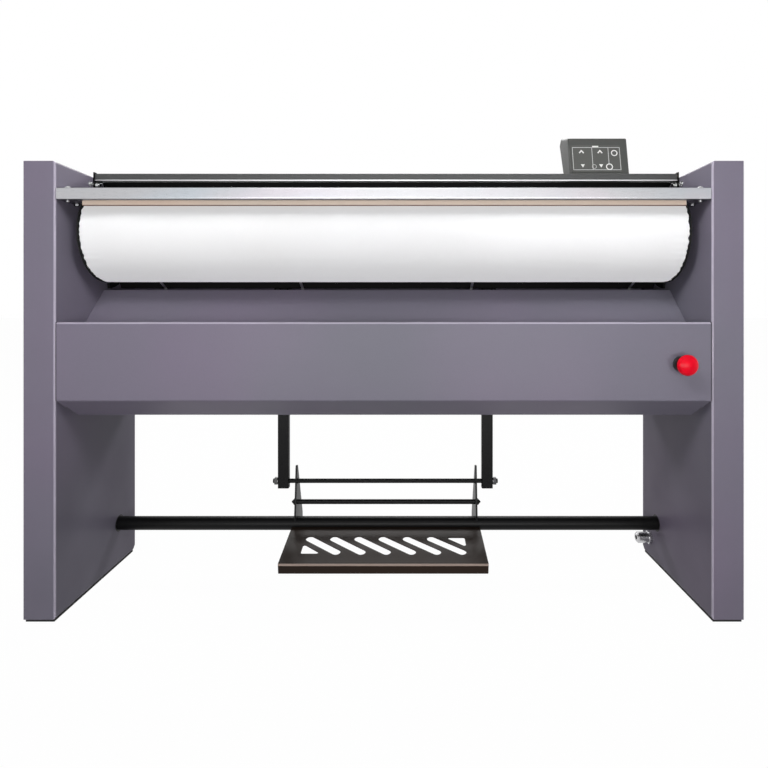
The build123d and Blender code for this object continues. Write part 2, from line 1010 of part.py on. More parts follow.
# --- Padded roller ----------------------------------------------------------------------
def roller_padding():
    """Cloth-covered padding, rounded at its ends and turned in over the tube."""
    outer = roller_radius
    turn = outer - padding_round
    inner = tube_radius - padding_turn_in
    flat = roller_half - padding_round
    slant = math.sqrt(0.5) * padding_round
    lines = []
    for side in (-1, 1):
        lines += [
            ThreePointArc(
                (side * flat, outer),
                (side * (flat + slant), turn + slant),
                (side * roller_half, turn),
            ),
            Line((side * roller_half, turn), (side * roller_half, inner)),
            Line((side * roller_half, inner), (side * tube_half, inner)),
            Line((side * tube_half, inner), (side * tube_half, tube_radius)),
        ]
    lines.append(Line((-flat, outer), (flat, outer)))
    lines.append(Line((-tube_half, tube_radius), (tube_half, tube_radius)))
    profile = make_face([edge for line in lines for edge in line.edges()])
    return Pos(0, roller_y, roller_z) * revolve(profile, Axis.X)


def roller_tube():
    """Steel tube under the padding."""
    tube = bar_x(roller_y, roller_z, tube_radius, -tube_half, tube_half)
    return tube - bar_x(roller_y, roller_z, tube_radius - tube_wall, -tube_half, tube_half)


def roller_end(journal_end):
    """Right-hand end of the roller: welded disc, hub and journal."""
    disc_outer = tube_half - end_disc_set_in
    disc_inner = disc_outer - end_disc
    disc = bar_x(roller_y, roller_z, tube_radius - tube_wall, disc_inner, disc_outer)
    hub = bar_x(roller_y, roller_z, hub_radius, disc_inner - hub_length, disc_outer)
    journal = bar_x(
        roller_y, roller_z, journal_radius, disc_inner - hub_length, journal_end
    )
    return disc + hub + journal


def roller_bearing():
    """Right-hand flange bearing inside the post."""
    half = bearing_flange / 2
    flange = extrude(
        Plane.YZ.offset(post_cavity)
        * Pos(roller_y, roller_z)
        * RectangleRounded(2 * half, 2 * half, half / 3),
        amount=bearing_flange_depth,
    )
    boss_end = post_cavity + bearing_boss_depth
    boss = bar_x(roller_y, roller_z, bearing_boss_radius, post_cavity, boss_end)
    bore = bar_x(roller_y, roller_z, journal_radius + bearing_fit, post_cavity, boss_end)
    return flange + boss - bore


def make_roller():
    """Write the roller, its ends and bearings."""
    left_end = post_cavity + bearing_boss_depth + shaft_overhang
    save("roller_padding", roller_padding())
    save("roller_tube", roller_tube())
    save("roller_end_left", mirror(roller_end(left_end), about=Plane.YZ))
    save("roller_end_right", roller_end(shaft_end))
    save("roller_bearings", *both_sides(roller_bearing()))


# --- Belt drive -------------------------------------------------------------------------
def pulley(y, z, radius, bore):
    """Flanged pulley with a shallow track for the flat belt."""
    wheel = bar_x(y, z, radius + belt_depth, pulley_start, pulley_end)
    track = bar_x(y, z, 2 * radius, pulley_start + pulley_rim, pulley_end - pulley_rim)
    track -= bar_x(y, z, radius, pulley_start, pulley_end)
    return wheel - track - bar_x(y, z, bore, pulley_start, pulley_end)


def belt_hull(growth):
    """Outline around both pulleys, grown from their tracks."""
    roller_circle = Pos(roller_y, roller_z) * Circle(roller_pulley_radius + growth)
    motor_circle = Pos(motor_y, motor_z) * Circle(motor_pulley_radius + growth)
    return make_hull(roller_circle.edges() + motor_circle.edges())


def drive_belt():
    """Flat belt from the motor's pulley to the roller's pulley."""
    band = belt_hull(belt_gap + belt_depth) - belt_hull(belt_gap)
    side = pulley_rim + belt_gap
    return along_x(band, pulley_start + side, pulley_end - side)


def motor_body():
    """Finned motor behind the gearbox."""
    end = post_inner - motor_bracket_sheet - gearbox_length
    start = end - motor_length
    body = bar_x(motor_y, motor_z, motor_radius, start, end)
    core = motor_radius - motor_fin_depth
    for index in range(motor_fins):
        x1 = end - motor_fin_start - index * motor_fin_pitch
        x0 = x1 - motor_fin_gap
        groove = bar_x(motor_y, motor_z, 2 * motor_radius, x0, x1)
        body -= groove - bar_x(motor_y, motor_z, core, x0, x1)
    return body


def gearbox():
    """Round gearbox, with the bore in which its output shaft turns."""
    end = post_inner - motor_bracket_sheet
    body = bar_x(motor_y, motor_z, gearbox_radius, end - gearbox_length, end)
    body = chamfer(body.edges().sort_by(Axis.X)[0], gearbox_chamfer)
    bore = motor_shaft_radius + motor_shaft_fit
    return body - bar_x(motor_y, motor_z, bore, end - motor_shaft_grip, end)


def motor_bracket():
    """Plate that carries the gearmotor on the right-hand post."""
    half = gearbox_radius + motor_bracket_margin
    plate = Pos(motor_y, motor_z) * RectangleRounded(2 * half, 2 * half, motor_bracket_margin)
    plate -= Pos(motor_y, motor_z) * Circle(2 * motor_shaft_radius)
    return along_x(plate, post_inner - motor_bracket_sheet, post_inner)


def motor_shaft():
    """Output shaft of the gearbox, through the post's inner wall."""
    start = post_inner - motor_bracket_sheet - motor_shaft_grip + motor_shaft_end_gap
    return bar_x(motor_y, motor_z, motor_shaft_radius, start, shaft_end)


def make_drive():
    """Write the gearmotor, the pulleys and the belt."""
    save("motor_body", motor_body())
    save("gearbox", gearbox())
    save("motor_bracket", motor_bracket())
    save("motor_shaft", motor_shaft())
    save("motor_pulley", pulley(motor_y, motor_z, motor_pulley_radius, motor_shaft_radius))
    save("roller_pulley", pulley(roller_y, roller_z, roller_pulley_radius, journal_radius))
    save("drive_belt", drive_belt())


# --- Heated chest -----------------------------------------------------------------------
def heater(angle):
    """Straight tubular heater along the chest, at an angle about the roller's axis."""
    y = roller_y + heater_path * math.cos(math.radians(angle))
    z = roller_z + heater_path * math.sin(math.radians(angle))
    end = chest_half - heater_set_in
    return bar_x(y, z, heater_radius, -end, end)


def chest_plate(heaters):
    """Thick aluminium trough around the back of the roller, grooved for its heaters."""
    arc = ring_sector(chest_radius, chest_outer, chest_from_angle, chest_to_angle)
    plate = along_x(arc, -chest_half, chest_half)
    for tube in heaters:
        plate -= tube
    mouth = plate.edges().filter_by(Axis.X).filter_by(
        lambda edge: edge.length > 1.9 * chest_half
    )
    near = mouth.sort_by_distance((0, roller_y, roller_z))[:2]
    return fillet(near, chest_entry_round)


def chest_cover():
    """Sheet cover over the heaters, with a wall at each end of its arc."""
    wall = math.degrees(chest_cover_sheet / chest_cover_radius)
    shell = ring_sector(chest_outer, chest_cover_radius, chest_from_angle, chest_to_angle)
    shell -= ring_sector(
        chest_outer,
        chest_cover_radius - chest_cover_sheet,
        chest_from_angle + wall,
        chest_to_angle - wall,
    )
    return along_x(shell, -chest_half, chest_half)


def heater_strap(place):
    """Strap across the chest that holds the heaters in their grooves."""
    inner = heater_path + heater_radius
    outer = inner + strap_sheet
    first = heater_angles[0] - strap_margin_angle
    last = heater_angles[-1] + strap_margin_angle
    band = ring_sector(inner, outer, first, last)
    band += ring_sector(chest_outer, outer, first - strap_foot, first)
    band += ring_sector(chest_outer, outer, last, last + strap_foot)
    return along_x(band, place - strap_width / 2, place + strap_width / 2)


def chest_end():
    """Right-hand end plate of the chest, with a tip under the roller and the pivot's lug."""
    pivot = Pos(chest_pivot_y, chest_pivot_z)
    lug_angle = math.degrees(math.atan2(chest_pivot_z - roller_z, chest_pivot_y - roller_y))
    plate = ring_sector(chest_radius, chest_cover_radius, chest_from_angle, lug_angle)
    plate += ring_sector(chest_radius, chest_tip_radius, chest_tip_angle, chest_from_angle)
    plate += pivot * Circle(chest_lug_radius)
    plate -= pivot * Circle(chest_pivot_radius + chest_pivot_fit)
    return along_x(plate, chest_half, chest_half + chest_end_sheet)


def chest_pivot():
    """Right-hand pivot pin of the chest, flanged inside the post."""
    start = chest_half - chest_pivot_grip
    pin = bar_x(chest_pivot_y, chest_pivot_z, chest_pivot_radius, start, post_cavity)
    flange_end = post_cavity + pivot_flange_depth
    return pin + bar_x(
        chest_pivot_y, chest_pivot_z, pivot_flange_radius, post_cavity, flange_end
    )


def make_chest():
    """Write the heated chest in its open place at rest."""
    heaters = [heater(angle) for angle in heater_angles]
    save("chest_plate", opened(chest_plate(heaters)))
    save("heaters", *[opened(tube) for tube in heaters])
    save("heater_straps", *[opened(heater_strap(place)) for place in strap_places])
    save("chest_cover", opened(chest_cover()))
    save("chest_ends", *[opened(end) for end in both_sides(chest_end())])
    save("chest_pivots", *both_sides(chest_pivot()))


# --- Levers and upper rod ---------------------------------------------------------------
def lever():
    """Right-hand lever: rectangular tube that hangs from the chest to the rod."""
    half = lever_width / 2
    tube = block(
        lever_x - half, lever_x + half, lever_front, lever_back, lever_bottom, lever_top
    )
    tube = fillet(tube.edges().filter_by(Axis.Z), lever_round)
    inside = half - lever_wall
    tube -= block(
        lever_x - inside,
        lever_x + inside,
        lever_front + lever_wall,
        lever_back - lever_wall,
        lever_bottom,
        lever_top,
    )
    return tube - bar_x(lever_y, upper_rod_z, upper_rod_radius, lever_x - half, lever_x + half)


def lever_saddle():
    """Right-hand bracket that joins the lever to the back of the chest."""
    cheek = outline(
        (lever_front - saddle_sheet, saddle_bottom),
        (lever_back + saddle_sheet, saddle_bottom),
        (lever_back + 3 * saddle_sheet, saddle_top),
        (lever_front - 6 * saddle_sheet, saddle_top),
        (lever_front - 6 * saddle_sheet, (saddle_top + lever_top) / 2),
    )
    half = lever_width / 2
    outer = half + saddle_sheet
    saddle = along_x(cheek, lever_x - outer, lever_x + outer)
    gap = block(
        lever_x - half,
        lever_x + half,
        lever_front - 10 * saddle_sheet,
        lever_back,
        saddle_bottom,
        saddle_top,
    )
    drum = opened(bar_x(roller_y, roller_z, chest_cover_radius, -chest_half, chest_half))
    return saddle - gap - drum


def upper_rod():
    """Rod between the levers, which passes through the pedal's blades."""
    end = lever_x + lever_width / 2 + rod_end
    return bar_x(lever_y, upper_rod_z, upper_rod_radius, -end, end)


def upper_rod_nut():
    """Right-hand washer and nut on the rod's end."""
    face = lever_x + lever_width / 2
    seat = face + rod_washer_depth
    washer = bar_x(lever_y, upper_rod_z, rod_washer_radius, face, seat)
    nut = hexagon_x(lever_y, upper_rod_z, rod_nut_across, seat, seat + rod_nut_depth)
    end = lever_x + lever_width / 2 + rod_end
    return washer + nut - bar_x(lever_y, upper_rod_z, upper_rod_radius, face, end)


def make_levers():
    """Write the levers, their saddles and the upper rod."""
    right, left = on_linkage(both_sides(lever()))
    save("lever_left", left)
    save("lever_right", right)
    save("lever_saddles", *on_linkage(both_sides(lever_saddle())))
    save("upper_rod", *on_linkage([upper_rod()]))
    save("upper_rod_nuts", *on_linkage(both_sides(upper_rod_nut())))


# --- Pedal ------------------------------------------------------------------------------
def tread_height(y):
    """Height of the tread's top face at a depth."""
    return tread_rear_z - (tread_rear_y - y) * math.tan(math.radians(tread_slope))


def tread_slots():
    """Openings of the tread: slanted slots and a triangle in two corners."""
    slots = Sketch()
    first = -slot_pitch * (slot_count - 1) / 2
    for index in range(slot_count):
        place = Pos(first + index * slot_pitch, -slot_centre) * Rot(0, 0, -slot_angle)
        slots += place * SlotOverall(slot_length, slot_width)
    depth = slot_length * math.sin(math.radians(slot_angle)) / 2
    corner = make_face(
        Polyline(
            (-slot_field, -slot_centre - depth),
            (slot_corner_width - slot_field, -slot_centre - depth),
            (-slot_field, -slot_centre - depth + slot_corner_depth),
            close=True,
        )
    )
    corner = fillet(corner.vertices(), slot_width / 5)
    turned = Pos(0, -slot_centre) * Rot(0, 0, 180) * Pos(0, slot_centre) * corner
    return slots + corner + turned


def pedal_tread():
    """Slotted foot plate with a skirt at its front and sides."""
    shell = Pos(0, -tread_length / 2, -tread_skirt / 2) * Box(
        tread_width, tread_length, tread_skirt
    )
    front = shell.edges().filter_by(Axis.X).sort_by(Axis.Y)[:2].sort_by(Axis.Z)[-1]
    uprights = shell.edges().filter_by(Axis.Z).sort_by(Axis.Y)[:2]
    shell = fillet([front] + list(uprights), tread_round)
    inside = Pos(0, (tread_sheet - tread_length) / 2, -tread_skirt / 2 - tread_sheet) * Box(
        tread_width - 2 * tread_sheet, tread_length - tread_sheet, tread_skirt
    )
    shell -= inside
    shell -= extrude(tread_slots(), amount=2 * tread_sheet, both=True)
    return Pos(tread_x, tread_rear_y, tread_rear_z) * Rot(tread_slope, 0, 0) * shell


def pedal_blade(x):
    """Upright blade on the axle, with its arm under the tread and a slot for the rod."""
    upright = outline(
        (blade_front_y, blade_foot_z),
        (blade_back_y, blade_foot_z),
        (blade_back_y, blade_foot_z + blade_back_rise),
        (blade_tip_y + blade_tip_width / 2, blade_tip_z),
        (blade_tip_y - blade_tip_width / 2, blade_tip_z),
        (blade_front_y, axle_z + blade_lug_radius),
    )
    drop = tread_sheet / math.cos(math.radians(tread_slope))
    arm_y = tread_rear_y - tread_length + blade_arm_front
    under_front = tread_height(arm_y) - drop
    under_back = tread_height(tread_rear_y) - drop
    arm = outline(
        (arm_y, under_front),
        (tread_rear_y, under_back),
        (axle_y, under_back),
        (axle_y, axle_z - blade_lug_radius),
        (arm_y, under_front - blade_arm_depth),
    )
    room_y = tread_rear_y + tread_sheet
    room = outline(
        (arm_y, under_front),
        (tread_rear_y, under_back),
        (room_y, under_back),
        (room_y, axle_z + 2 * blade_lug_radius),
        (arm_y, axle_z + 2 * blade_lug_radius),
    )
    axle = Pos(axle_y, axle_z)
    blade = upright + arm + (axle * Circle(blade_lug_radius) - room)
    blade -= axle * Circle(axle_radius)
    lean = math.degrees(math.atan2(upper_rod_z - axle_z, lever_y - axle_y))
    width = 2 * (upper_rod_radius + blade_slot_gap)
    slot = SlotOverall(width + blade_slot_play, width)
    blade -= Pos(lever_y, upper_rod_z) * Rot(0, 0, lean) * slot
    blade -= Pos(lower_rod_y, lower_rod_z) * Circle(lower_rod_radius)
    return along_x(blade, x - blade_sheet / 2, x + blade_sheet / 2)


def pedal_axle():
    """Round tube across the machine, welded to the blades."""
    end = post_cavity + bush_depth - axle_set_in
    tube = bar_x(axle_y, axle_z, axle_radius, -end, end)
    return tube - bar_x(axle_y, axle_z, axle_radius - axle_wall, -end, end)


def axle_bush():
    """Right-hand bush in the post, flanged inside it, in which the axle turns."""
    sleeve_end = post_cavity + bush_depth
    bush = bar_x(axle_y, axle_z, axle_radius + bush_wall, post_inner, sleeve_end)
    flange_end = post_cavity + bush_flange_depth
    bush += bar_x(axle_y, axle_z, bush_flange_radius, post_cavity, flange_end)
    return bush - bar_x(axle_y, axle_z, axle_radius + axle_fit, post_inner, sleeve_end)


def lower_rod():
    """Rod that braces the blades below the upper rod."""
    end = blade_x + blade_sheet / 2 + lower_nut_depth
    return bar_x(lower_rod_y, lower_rod_z, lower_rod_radius, tread_x - end, tread_x + end)


def lower_rod_nut(side):
    """Black nut on one end of the lower rod, drawn out to a point."""
    face = tread_x + side * (blade_x + blade_sheet / 2)
    end = face + side * lower_nut_depth
    nut = hexagon_x(lower_rod_y, lower_rod_z, lower_nut_across, face, end)
    nut -= bar_x(lower_rod_y, lower_rod_z, lower_rod_radius, face, end)
    point = Cone(lower_nut_across / 2, lower_nut_tip_radius, lower_nut_point)
    middle = end + side * lower_nut_point / 2
    return nut + Pos(middle, lower_rod_y, lower_rod_z) * Rot(0, side * 90, 0) * point


def make_pedal():
    """Write the pedal, its axle and bushes."""
    save("pedal_axle", pedal_axle())
    save("axle_bushes", *both_sides(axle_bush()))
    save("pedal_tread", pedal_tread())
    save("pedal_blade_left", pedal_blade(tread_x - blade_x))
    save("pedal_blade_right", pedal_blade(tread_x + blade_x))
    save("lower_rod", lower_rod())
    save("lower_rod_nuts", *[lower_rod_nut(side) for side in (-1, 1)])


# --- Cable gland ------------------------------------------------------------------------
def gland_body():
    """Gland through the right-hand post, with its hexagon and inner nut."""
    face = post_inner - gland_flange_depth
    body = hexagon_x(gland_y, gland_z, gland_across, face, post_inner)
    neck_end = post_inner - gland_reach + gland_cap_depth
    body += bar_x(gland_y, gland_z, gland_body_radius, neck_end, face)
    thread_end = post_cavity + gland_nut_depth + gland_thread_end
    body += bar_x(gland_y, gland_z, gland_thread_radius, post_inner, thread_end)
    body += hexagon_x(
        gland_y, gland_z, gland_across, post_cavity, post_cavity + gland_nut_depth
    )
    return body - bar_x(gland_y, gland_z, gland_bore, neck_end, thread_end)


def gland_cap():
    """Domed clamping cap of the gland."""
    outer = post_inner - gland_reach
    cap = bar_x(gland_y, gland_z, gland_cap_radius, outer, outer + gland_cap_depth)
    cap = chamfer(cap.edges().sort_by(Axis.X)[0], gland_cap_chamfer)
    return cap - bar_x(gland_y, gland_z, gland_bore, outer, outer + gland_cap_depth)


def make_gland():
    """Write the cable gland."""
    save("gland_body", gland_body())
    save("gland_cap", gland_cap())


def main():
    """Write every piece of the machine."""
    os.makedirs("parts", exist_ok=True)
    make_posts()
    make_front()
    make_feed()
    make_guard()
    make_back()
    make_controls()
    make_stop()
    make_roller()
    make_drive()
    make_chest()
    make_levers()
    make_pedal()
    make_gland()


main()
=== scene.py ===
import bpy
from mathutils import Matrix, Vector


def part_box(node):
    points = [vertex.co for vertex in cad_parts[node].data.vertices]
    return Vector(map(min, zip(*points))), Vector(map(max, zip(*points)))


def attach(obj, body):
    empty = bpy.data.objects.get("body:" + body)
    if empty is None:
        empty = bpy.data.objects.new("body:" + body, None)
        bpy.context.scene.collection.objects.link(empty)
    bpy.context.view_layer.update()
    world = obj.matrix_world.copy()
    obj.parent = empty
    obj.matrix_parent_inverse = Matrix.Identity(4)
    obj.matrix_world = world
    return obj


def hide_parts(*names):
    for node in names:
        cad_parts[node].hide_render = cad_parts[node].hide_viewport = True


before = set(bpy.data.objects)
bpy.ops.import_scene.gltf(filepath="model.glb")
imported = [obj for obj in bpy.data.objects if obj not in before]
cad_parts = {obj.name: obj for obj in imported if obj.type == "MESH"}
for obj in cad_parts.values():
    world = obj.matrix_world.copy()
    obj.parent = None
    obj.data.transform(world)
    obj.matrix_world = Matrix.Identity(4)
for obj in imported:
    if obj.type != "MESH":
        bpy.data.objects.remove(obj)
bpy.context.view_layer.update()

import logging
import math
from dataclasses import dataclass
from enum import Enum

import bmesh
import bpy
from mathutils import Matrix, Vector, noise

log = logging.getLogger("ironer")

Colour = tuple[float, float, float, float]
Tint = tuple[int, int, int]
Corner = tuple[float, float, float]
Spot = tuple[float, float]


class Body(Enum):
    """Bodies of the machine that the scene's own pieces ride on."""

    FRAME = "frame"
    ROLLER = "roller"
    GUARD = "guard"


class Slot(Enum):
    """Material slots of the record."""

    FRAME_PAINT = "frame_paint"
    BLACK_PAINT = "black_paint"
    TREAD_PAINT = "tread_paint"
    GUARD_PAINT = "guard_paint"
    STAINLESS = "stainless"
    ROLLER_CLOTH = "roller_cloth"
    CHEST_ALUMINIUM = "chest_aluminium"
    GALVANISED = "galvanised_sheet"
    HEATER_STEEL = "heater_steel"
    BRIGHT_STEEL = "bright_steel"
    ZINC = "zinc_fasteners"
    FEED_STRIP = "feed_strip"
    CONTROL_GREY = "control_grey"
    MEMBRANE = "membrane"
    STOP_RED = "stop_red"
    BLACK_PLASTIC = "black_plastic"
    RUBBER = "rubber"
    BELT_RUBBER = "belt_rubber"
    CAST_IRON = "cast_iron"
    MOTOR_PAINT = "motor_paint"
    GLAND_METAL = "gland_metal"


class Grain(Enum):
    """Direction of the fine lines on a metal, as the scale of its pattern on X, Y and Z."""

    ALONG_X = (1.0, 60.0, 60.0)
    TURNED = (60.0, 1.5, 1.5)
    NONE = (1.0, 1.0, 1.0)


def tone(tint: Tint) -> Colour:
    """Linear colour of a tint that is given from 0 to 255."""
    parts = [part / 255 for part in tint]
    linear = [p / 12.92 if p <= 0.04045 else ((p + 0.055) / 1.055) ** 2.4 for p in parts]
    return (linear[0], linear[1], linear[2], 1.0)


def darker(tint: Tint, share: float) -> Colour:
    """Linear colour of a tint that is darkened to a share of its value."""
    return tone(tuple(round(part * share) for part in tint))


class Signal:
    """Output of a shader node that Python's operators work on."""

    def __init__(self, sheet: "ShaderSheet", socket: bpy.types.NodeSocket) -> None:
        """Keep the socket and the sheet that it is drawn on."""
        self.sheet = sheet
        self.socket = socket

    def _math(
        self, operation: str, first: "Signal | float", second: "Signal | float"
    ) -> "Signal":
        """One Math node on two numbers or signals."""
        settings = {"operation": operation}
        return self.sheet.node("ShaderNodeMath", settings, {0: first, 1: second})

    def __add__(self, other: "Signal | float") -> "Signal":
        """Sum."""
        return self._math("ADD", self, other)

    def __radd__(self, other: float) -> "Signal":
        """Sum with a number on the left."""
        return self._math("ADD", other, self)

    def __sub__(self, other: "Signal | float") -> "Signal":
        """Difference."""
        return self._math("SUBTRACT", self, other)

    def __rsub__(self, other: float) -> "Signal":
        """Difference with a number on the left."""
        return self._math("SUBTRACT", other, self)

    def __mul__(self, other: "Signal | float") -> "Signal":
        """Product."""
        return self._math("MULTIPLY", self, other)

    def __rmul__(self, other: float) -> "Signal":
        """Product with a number on the left."""
        return self._math("MULTIPLY", other, self)

    def sine(self) -> "Signal":
        """Sine of the signal."""
        return self._math("SINE", self, 0.0)

    def above(self, level: "Signal | float") -> "Signal":
        """One where the signal is greater than the level, and zero elsewhere."""
        return self._math("GREATER_THAN", self, level)

    def highest(self, other: "Signal | float") -> "Signal":
        """The greater of two signals."""
        return self._math("MAXIMUM", self, other)

    def size(self) -> "Signal":
        """The signal without its sign."""
        return self._math("ABSOLUTE", self, 0.0)

    def held(self) -> "Signal":
        """The signal kept between zero and one."""
        return self.sheet.node("ShaderNodeClamp", {}, {"Value": self})

    def past(self, level: float, gain: float) -> "Signal":
        """How far the signal is past a level, raised by a gain and held."""
        return ((self - level) * gain).held()

    def swing(self, width: float) -> "Signal":
        """The signal's swing about one half, scaled to a width."""
        return (self - 0.5) * width


class ShaderSheet:
    """Node tree of a material or of the world."""

    def __init__(self, owner: bpy.types.Material | bpy.types.World) -> None:
        """Take the owner's tree and clear it."""
        self.owner = owner
        owner.use_nodes = True
        self.tree = owner.node_tree
        self.tree.nodes.clear()

    def node(
        self,
        kind: str,
        settings: dict[str, object],
        sockets: dict[str | int, "Signal | float | tuple"],
        output: str | int = 0,
    ) -> Signal:
        """Add one node.

        Args:
            kind: Type of the node.
            settings: Properties that are set first.
            sockets: Value or link of each input.
            output: Output that is handed back.

        Returns:
            The chosen output.
        """
        made = self.tree.nodes.new(kind)
        for name, value in settings.items():
            setattr(made, name, value)
        for name, value in sockets.items():
            if isinstance(value, Signal):
                self.tree.links.new(value.socket, made.inputs[name])
            else:
                made.inputs[name].default_value = value
        return Signal(self, made.outputs[output])

    def place(self, scale: Corner = (1, 1, 1)) -> Signal:
        """Object coordinates, scaled on each axis."""
        coordinates = self.node("ShaderNodeTexCoord", {}, {}, "Object")
        return self.node("ShaderNodeMapping", {}, {"Vector": coordinates, "Scale": scale})

    def noise(self, vector: Signal, scale: float, detail: float = 2.0) -> Signal:
        """Noise between zero and one.

        Args:
            vector: Where the noise is read.
            scale: Number of its features in a metre.
            detail: Number of finer layers.

        Returns:
            The noise.
        """
        sockets = {"Vector": vector, "Scale": scale, "Detail": detail}
        return self.node("ShaderNodeTexNoise", {}, sockets)

    def inside(self, zone: "Zone", soft: float = 0.0006) -> Signal:
        """Mask of a zone that is the same on the left and on the right.

        Args:
            zone: Where the mask is one, with X measured from the machine's middle.
            soft: Width of its soft edge in metres.

        Returns:
            One in the zone and zero outside it.
        """
        place = self.place()
        mask: Signal | float = 1.0
        for index, axis in enumerate("XYZ"):
            along = self.node("ShaderNodeSeparateXYZ", {}, {"Vector": place}, axis)
            if axis == "X":
                along = along.size()
            mask = ((along - zone.low[index]) * (1 / soft)).held() * mask
            mask = ((zone.high[index] - along) * (1 / soft)).held() * mask
        return mask

    def blend(
        self, factor: Signal | float, first: Signal | Colour, second: Signal | Colour
    ) -> Signal:
        """Mix two colours.

        Args:
            factor: Share of the second colour.
            first: Colour at zero.
            second: Colour at one.

        Returns:
            The mixed colour.
        """
        settings = {"data_type": "RGBA", "clamp_factor": True}
        return self.node("ShaderNodeMix", settings, {0: factor, 6: first, 7: second}, 2)

    def bump(self, height: Signal, depth: float, strength: float = 1.0) -> Signal:
        """Normal that follows a height.

        Args:
            height: Height between zero and one.
            depth: Real height in metres of a signal of one.
            strength: How much of the bump is seen.

        Returns:
            The bumped normal.
        """
        sockets = {"Height": height, "Distance": depth, "Strength": strength}
        return self.node("ShaderNodeBump", {}, sockets)

    def seen(self) -> Signal:
        """One for what the camera sees, straight or in a reflection, and zero for the rest."""
        rays = ("Is Camera Ray", "Is Glossy Ray", "Is Transmission Ray")
        camera, glossy, through = (self.node("ShaderNodeLightPath", {}, {}, ray) for ray in rays)
        return camera.highest(glossy).highest(through)

    def close(self, kind: str, last: Signal) -> None:
        """Link the last shader to an output node of the given type."""
        end = self.tree.nodes.new(kind)
        self.tree.links.new(last.socket, end.inputs["Surface"])

    def surface(self, values: dict[str, "Signal | float | Colour"]) -> bpy.types.Material:
        """Close a material's tree with its shader.

        Args:
            values: Values and links of the shader's sockets.

        Returns:
            The material.
        """
        self.close("ShaderNodeOutputMaterial", self.node("ShaderNodeBsdfPrincipled", {}, values))
        return self.owner


@dataclass(frozen=True)
class Zone:
    """Box in which a finish changes, such as a painted highlight on a bend of the sheet or a
    painted shadow along an edge.
    """

    low: Corner
    high: Corner


@dataclass(frozen=True)
class Finish:
    """What all finishes share: a name and a slot of the record."""

    name: str
    slot: Slot

    def material(self) -> bpy.types.Material:
        """The finish's material, drawn the first time that it is asked for."""
        ready = bpy.data.materials.get(self.name)
        return ready or self.draw(ShaderSheet(bpy.data.materials.new(self.name)))

    def draw(self, sheet: ShaderSheet) -> bpy.types.Material:
        """Draw the finish on an empty sheet."""
        raise NotImplementedError


@dataclass(frozen=True)
class Paint(Finish):
    """Baked powder paint on sheet metal."""

    tint: Tint
    drift: Tint
    roughness: float = 0.42
    specular: float = 0.5
    coat: float = 0.0
    peel: float = 0.00012
    dust: float = 0.0
    # Strength of a patchy painted shade that darkens the paint towards the floor.
    grime_and_shade: float = 0.0
    # Painted highlights on bends and painted shadows along edges: their zones, tint and share.
    painted_light_zones: tuple[Zone, ...] = ()
    painted_light_tint: Tint = (200, 192, 208)
    painted_light_share: float = 0.6
    # Colour of that painted shade and how fast it fades with height.
    low_shade_tint: Tint = (20, 18, 24)
    low_shade_fade: float = 1.8
    dust_tint: Tint = (150, 145, 140)
    dust_fade: float = 7.0
    drift_scale: float = 2.2
    drift_gain: float = 2.2
    grain_scale: float = 1400.0
    smudge_scale: float = 11.0
    wave_scale: float = 420.0
    coat_roughness: float = 0.2
    grain_dark: float = 0.86
    # Even and patchy shares of that painted shade.
    low_shade_even: float = 0.6
    low_shade_patchy: float = 0.8
    smudge_gloss: float = 0.16

    def draw(self, sheet: ShaderSheet) -> bpy.types.Material:
        """Tint that drifts, fine grain, smudges, a patchy painted shade towards the floor, dust,
        painted highlights and shadows in zones, and orange peel.

        Args:
            sheet: Empty sheet.

        Returns:
            The material.
        """
        place = sheet.place()
        drift = sheet.noise(place, self.drift_scale)
        drift = (drift.swing(self.drift_gain) + 0.5).held()
        grain = sheet.noise(place, self.grain_scale, detail=1.0)
        smudge = sheet.noise(place, self.smudge_scale, detail=4.0)
        colour = sheet.blend(drift, tone(self.tint), tone(self.drift))
        speck = grain.past(level=0.55, gain=1.6)
        colour = sheet.blend(speck, colour, darker(self.tint, self.grain_dark))
        height = sheet.node("ShaderNodeSeparateXYZ", {}, {"Vector": place}, "Z")
        # Painted shade: the colour darkens towards the floor, in patches, standing in for the
        # weaker light low down.
        if self.grime_and_shade > 0:
            patches = self.low_shade_even + smudge * self.low_shade_patchy
            share = (1.0 - height * self.low_shade_fade).held() * patches * self.grime_and_shade
            colour = sheet.blend(share, colour, tone(self.low_shade_tint))
        if self.dust > 0:
            share = (1.0 - height * self.dust_fade).held() * smudge * self.dust
            colour = sheet.blend(share, colour, tone(self.dust_tint))
        # Painted highlights and shadows: each zone is blended towards one tint.
        for painted_zone in self.painted_light_zones:
            share = sheet.inside(painted_zone) * self.painted_light_share
            colour = sheet.blend(share, colour, tone(self.painted_light_tint))
        waves = sheet.noise(place, self.wave_scale)
        return sheet.surface(
            {
                "Base Color": colour,
                "Roughness": self.roughness + smudge.swing(self.smudge_gloss),
                "Specular IOR Level": self.specular,
                "Coat Weight": self.coat,
                "Coat Roughness": self.coat_roughness,
                "Normal": sheet.bump(waves, self.peel),
            }
        )


